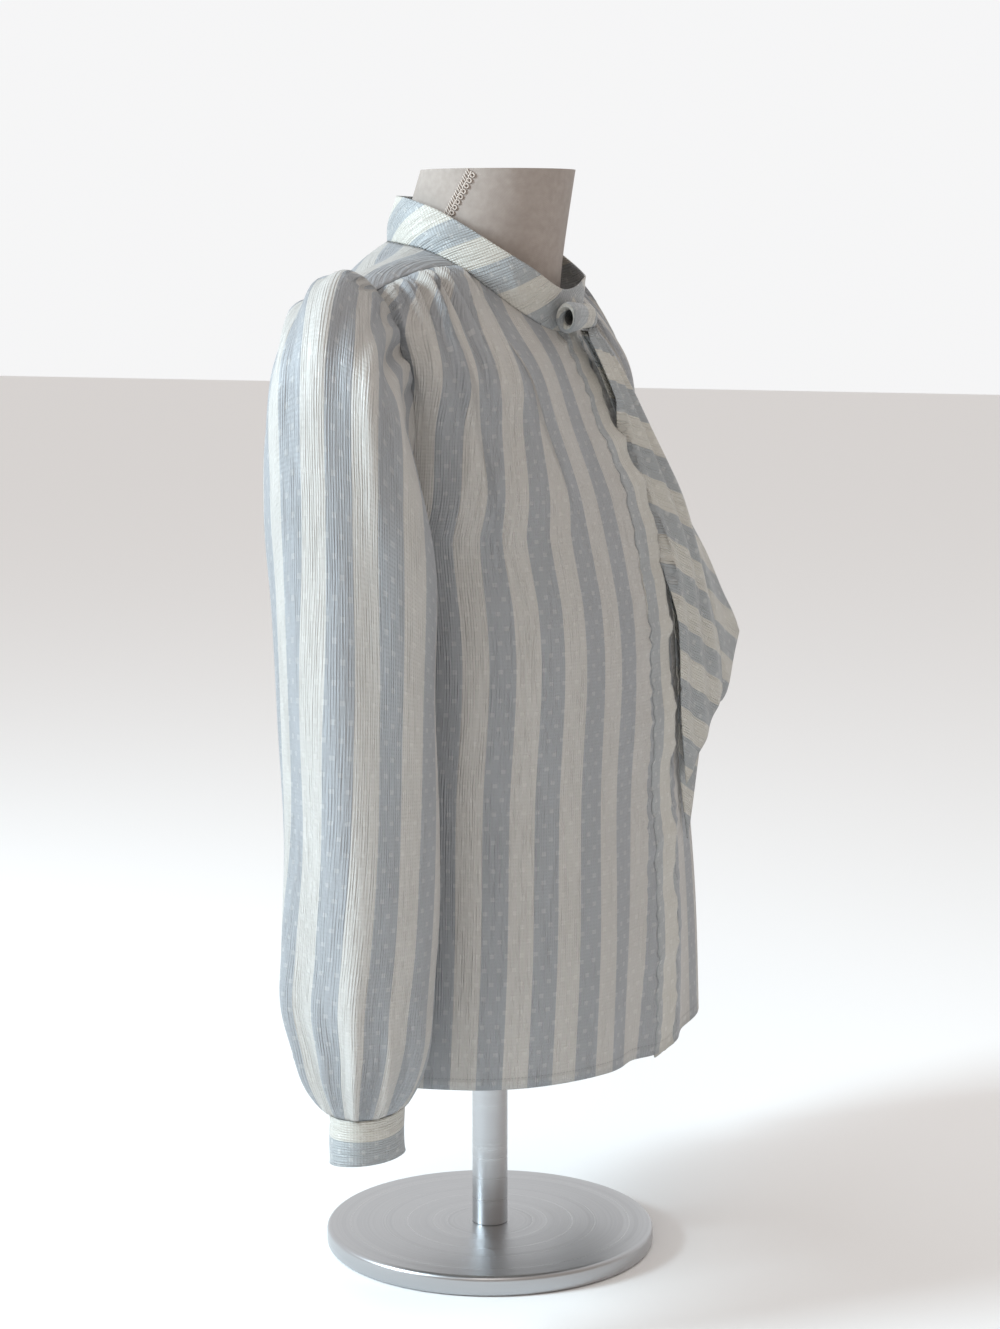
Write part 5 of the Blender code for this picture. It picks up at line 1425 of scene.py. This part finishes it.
def make_form(linen):
    """The covered torso and neck, with the cover's soft wrinkles at the neck."""
    sections = np.array(FORM_SECTIONS)
    knots = np.arange(len(sections))
    fine = spline(knots, sections, np.linspace(0, len(sections) - 1, 91))
    rings = np.array([form_ring(section, 112) for section in fine])
    angle = 2 * math.pi * np.arange(112) / 112
    rim = rings[-1:].copy()
    rings = np.concatenate([rings[:-1], rim])
    outward = unit(rings - rings.mean(axis=1, keepdims=True))
    height = rings[..., 2]
    neck = np.clip((height - 0.78) / 0.03, 0, 1)
    crease = bump(angle[None, :] - (5.35 - 6 * (height - 0.83)), 0.05) - bump(angle[None, :] - (5.48 - 6 * (height - 0.83)), 0.04)
    rings = rings + outward * (0.0004 * crease * neck)[..., None]
    obj = loft_object("form_cover", rings, linen)
    dress(obj, "form_torso")
    return rings


def tube(path, radius, sides, points, faces):
    """Adds a closed-end tube along a path to the points and faces."""
    path = np.asarray(path, float)
    along = unit(np.gradient(path, axis=0))
    side = unit(np.cross(along, np.array([0.9, 0.3, 0.31])))
    up = np.cross(along, side)
    start = len(points)
    angle = 2 * math.pi * np.arange(sides) / sides
    for k in range(len(path)):
        for a in angle:
            points.append(path[k] + radius * (math.cos(a) * side[k] + math.sin(a) * up[k]))
    for k in range(len(path) - 1):
        for s in range(sides):
            after = (s + 1) % sides
            faces.append((start + k * sides + s, start + k * sides + after, start + (k + 1) * sides + after, start + (k + 1) * sides + s))
    faces.append(tuple(reversed([start + s for s in range(sides)])))
    faces.append(tuple(start + (len(path) - 1) * sides + s for s in range(sides)))


def make_braid(form, gimp):
    """Gimp braid: a row of curled loops on the front side and slanting cords on the other."""
    rows, columns = form.shape[:2]
    faces = [
        (r * columns + c, r * columns + (c + 1) % columns, (r + 1) * columns + (c + 1) % columns, (r + 1) * columns + c)
        for r in range(rows - 1)
        for c in range(columns)
    ]
    tree = BVHTree.FromPolygons([tuple(map(float, p)) for p in form.reshape(-1, 3)], faces)
    (top_y, top_z), (low_y, low_z) = BRAID_TOP, BRAID_LOW
    down = unit(np.array([low_y - top_y, low_z - top_z]))
    side = np.array([-down[1], down[0]])

    def on_neck(along, across, lift):
        y = top_y + down[0] * along + side[0] * across
        z = top_z + down[1] * along + side[1] * across
        hit = tree.ray_cast(Vector((-1.0, float(y), float(z))), Vector((1.0, 0.0, 0.0)))[0]
        return np.array([hit.x - lift, y, z])

    length = math.hypot(low_y - top_y, low_z - top_z)
    points, solid_faces = [], []
    pitch = 0.0046
    for k in range(int(length / pitch)):
        start = 0.0012 + k * pitch
        loop = []
        for step in range(15):
            turn = 2 * math.pi * (step / 14 * 1.12 - 0.1)
            grow = 1 - 0.25 * step / 14
            loop.append(on_neck(start + 0.0018 + 0.0017 * grow * math.cos(turn), -0.0021 - 0.0018 * grow * math.sin(turn), 0.0008))
        tube(loop, 0.00055, 6, points, solid_faces)
        for strand in range(2):
            cord = []
            for step in range(7):
                share = step / 6
                cord.append(on_neck(start + 0.0020 * strand + 0.0022 * share, 0.0042 * (1 - share) - 0.0002, 0.0007 + 0.0005 * math.sin(math.pi * share)))
            tube(cord, 0.00050, 6, points, solid_faces)
    middle = [on_neck(0.0008 + (length - 0.0016) * s / 60, -0.0003 + 0.0004 * math.sin(s * 1.9), 0.0011) for s in range(61)]
    tube(middle, 0.00055, 6, points, solid_faces)
    obj = mesh_object("neck_braid_cords", points, solid_faces, None, gimp)
    dress(obj, "neck_braid")


def turned(radii_heights, count):
    """Rings of a turned shape about the Z axis."""
    angle = 2 * math.pi * np.arange(count) / count
    return [np.stack([r * np.cos(angle), r * np.sin(angle), np.full(count, z)], axis=-1) for r, z in radii_heights]


def make_stand(steel):
    """A round weighted base with rounded edges, and the pole."""
    edge = 0.004
    profile = []
    for step in range(7):
        turn = math.pi / 2 * step / 6
        profile.append((BASE_RADIUS - edge + edge * math.sin(turn), edge - edge * math.cos(turn)))
    for step in range(7):
        turn = math.pi / 2 * step / 6
        profile.append((BASE_RADIUS - edge + edge * math.cos(turn), BASE_HEIGHT - edge + edge * math.sin(turn)))
    base = loft_object("stand_base_steel", turned(profile, 128), steel)
    dress(base, "stand_base")
    bottom = FORM_SECTIONS[0][0]
    pole_profile = [(POLE_RADIUS, BASE_HEIGHT + SOCKET_GAP), (POLE_RADIUS, bottom - SOCKET_GAP)]
    pole = loft_object("stand_pole_steel", turned(pole_profile, 64), steel)
    dress(pole, "stand_pole")


def make_button(name, node, side, back, material):
    """A small domed button with a rim, on the cuff's inner side."""
    x = -side * (CUFF_CENTRE[0] + CUFF_HALF_WIDTH + 0.0018 / 2 + SEAM_GAP)
    y = CUFF_CENTRE[1] + back
    z = CUFF_TOP - CUFF_HEIGHT / 2
    angle = 2 * math.pi * np.arange(40) / 40
    profile = ((1.0, 0.0), (1.0, 0.35), (0.97, 0.55), (0.90, 0.62), (0.84, 0.55), (0.76, 0.60), (0.5, 0.85), (0.2, 1.0))
    rings = []
    for radius, out in profile:
        r, depth = radius * BUTTON_RADIUS, out * BUTTON_THICKNESS
        rings.append(np.stack([np.full(40, x - side * depth), y + r * np.cos(angle), z + r * np.sin(angle)], axis=-1))
    if side < 0:
        rings = [ring[::-1] for ring in rings]
    obj = loft_object(name, [ring[::-1] for ring in rings], material)
    dress(obj, node)


def main():
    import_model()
    make_camera()
    make_studio()
    sheer = striped_crepe_satin("striped_crepe_satin", 0.22, "#cccac6", "#a6aaaf")
    # Doubled satin for the plackets, cuffs, collar and tie: it lets less light through, and its colours are set darker
    # than the single satin's as painted shade
    doubled_and_shaded = striped_crepe_satin("striped_crepe_satin_doubled_shaded", 0.10, "#c6c4bc", "#9da2a5")
    slots = {
        "right_cuff": "cuff_satin",
        "left_cuff": "cuff_satin",
        "collar_band": "collar_satin",
        "tie_knot": "collar_satin",
        "tie_tail_near": "collar_satin",
        "tie_tail_far": "collar_satin",
    }
    satin = {name: (doubled_and_shaded, slot) for name, slot in slots.items()}
    for name in ("right_front", "left_front", "back_panel", "yoke", "right_sleeve", "left_sleeve"):
        satin[name] = (sheer, "striped_satin")
    for name in ("right_placket", "left_placket"):
        satin[name] = (doubled_and_shaded, "striped_satin")
    make_body(satin)
    form = make_form(linen_cover())
    make_braid(form, gimp_braid())
    make_stand(brushed_steel())
    button = pearl_button()
    make_button("right_cuff_button_face", "right_cuff_button", -1, 0.0, button)
    make_button("left_cuff_button_face", "left_cuff_button", 1, LEFT_SLEEVE_BACK, button)


main()
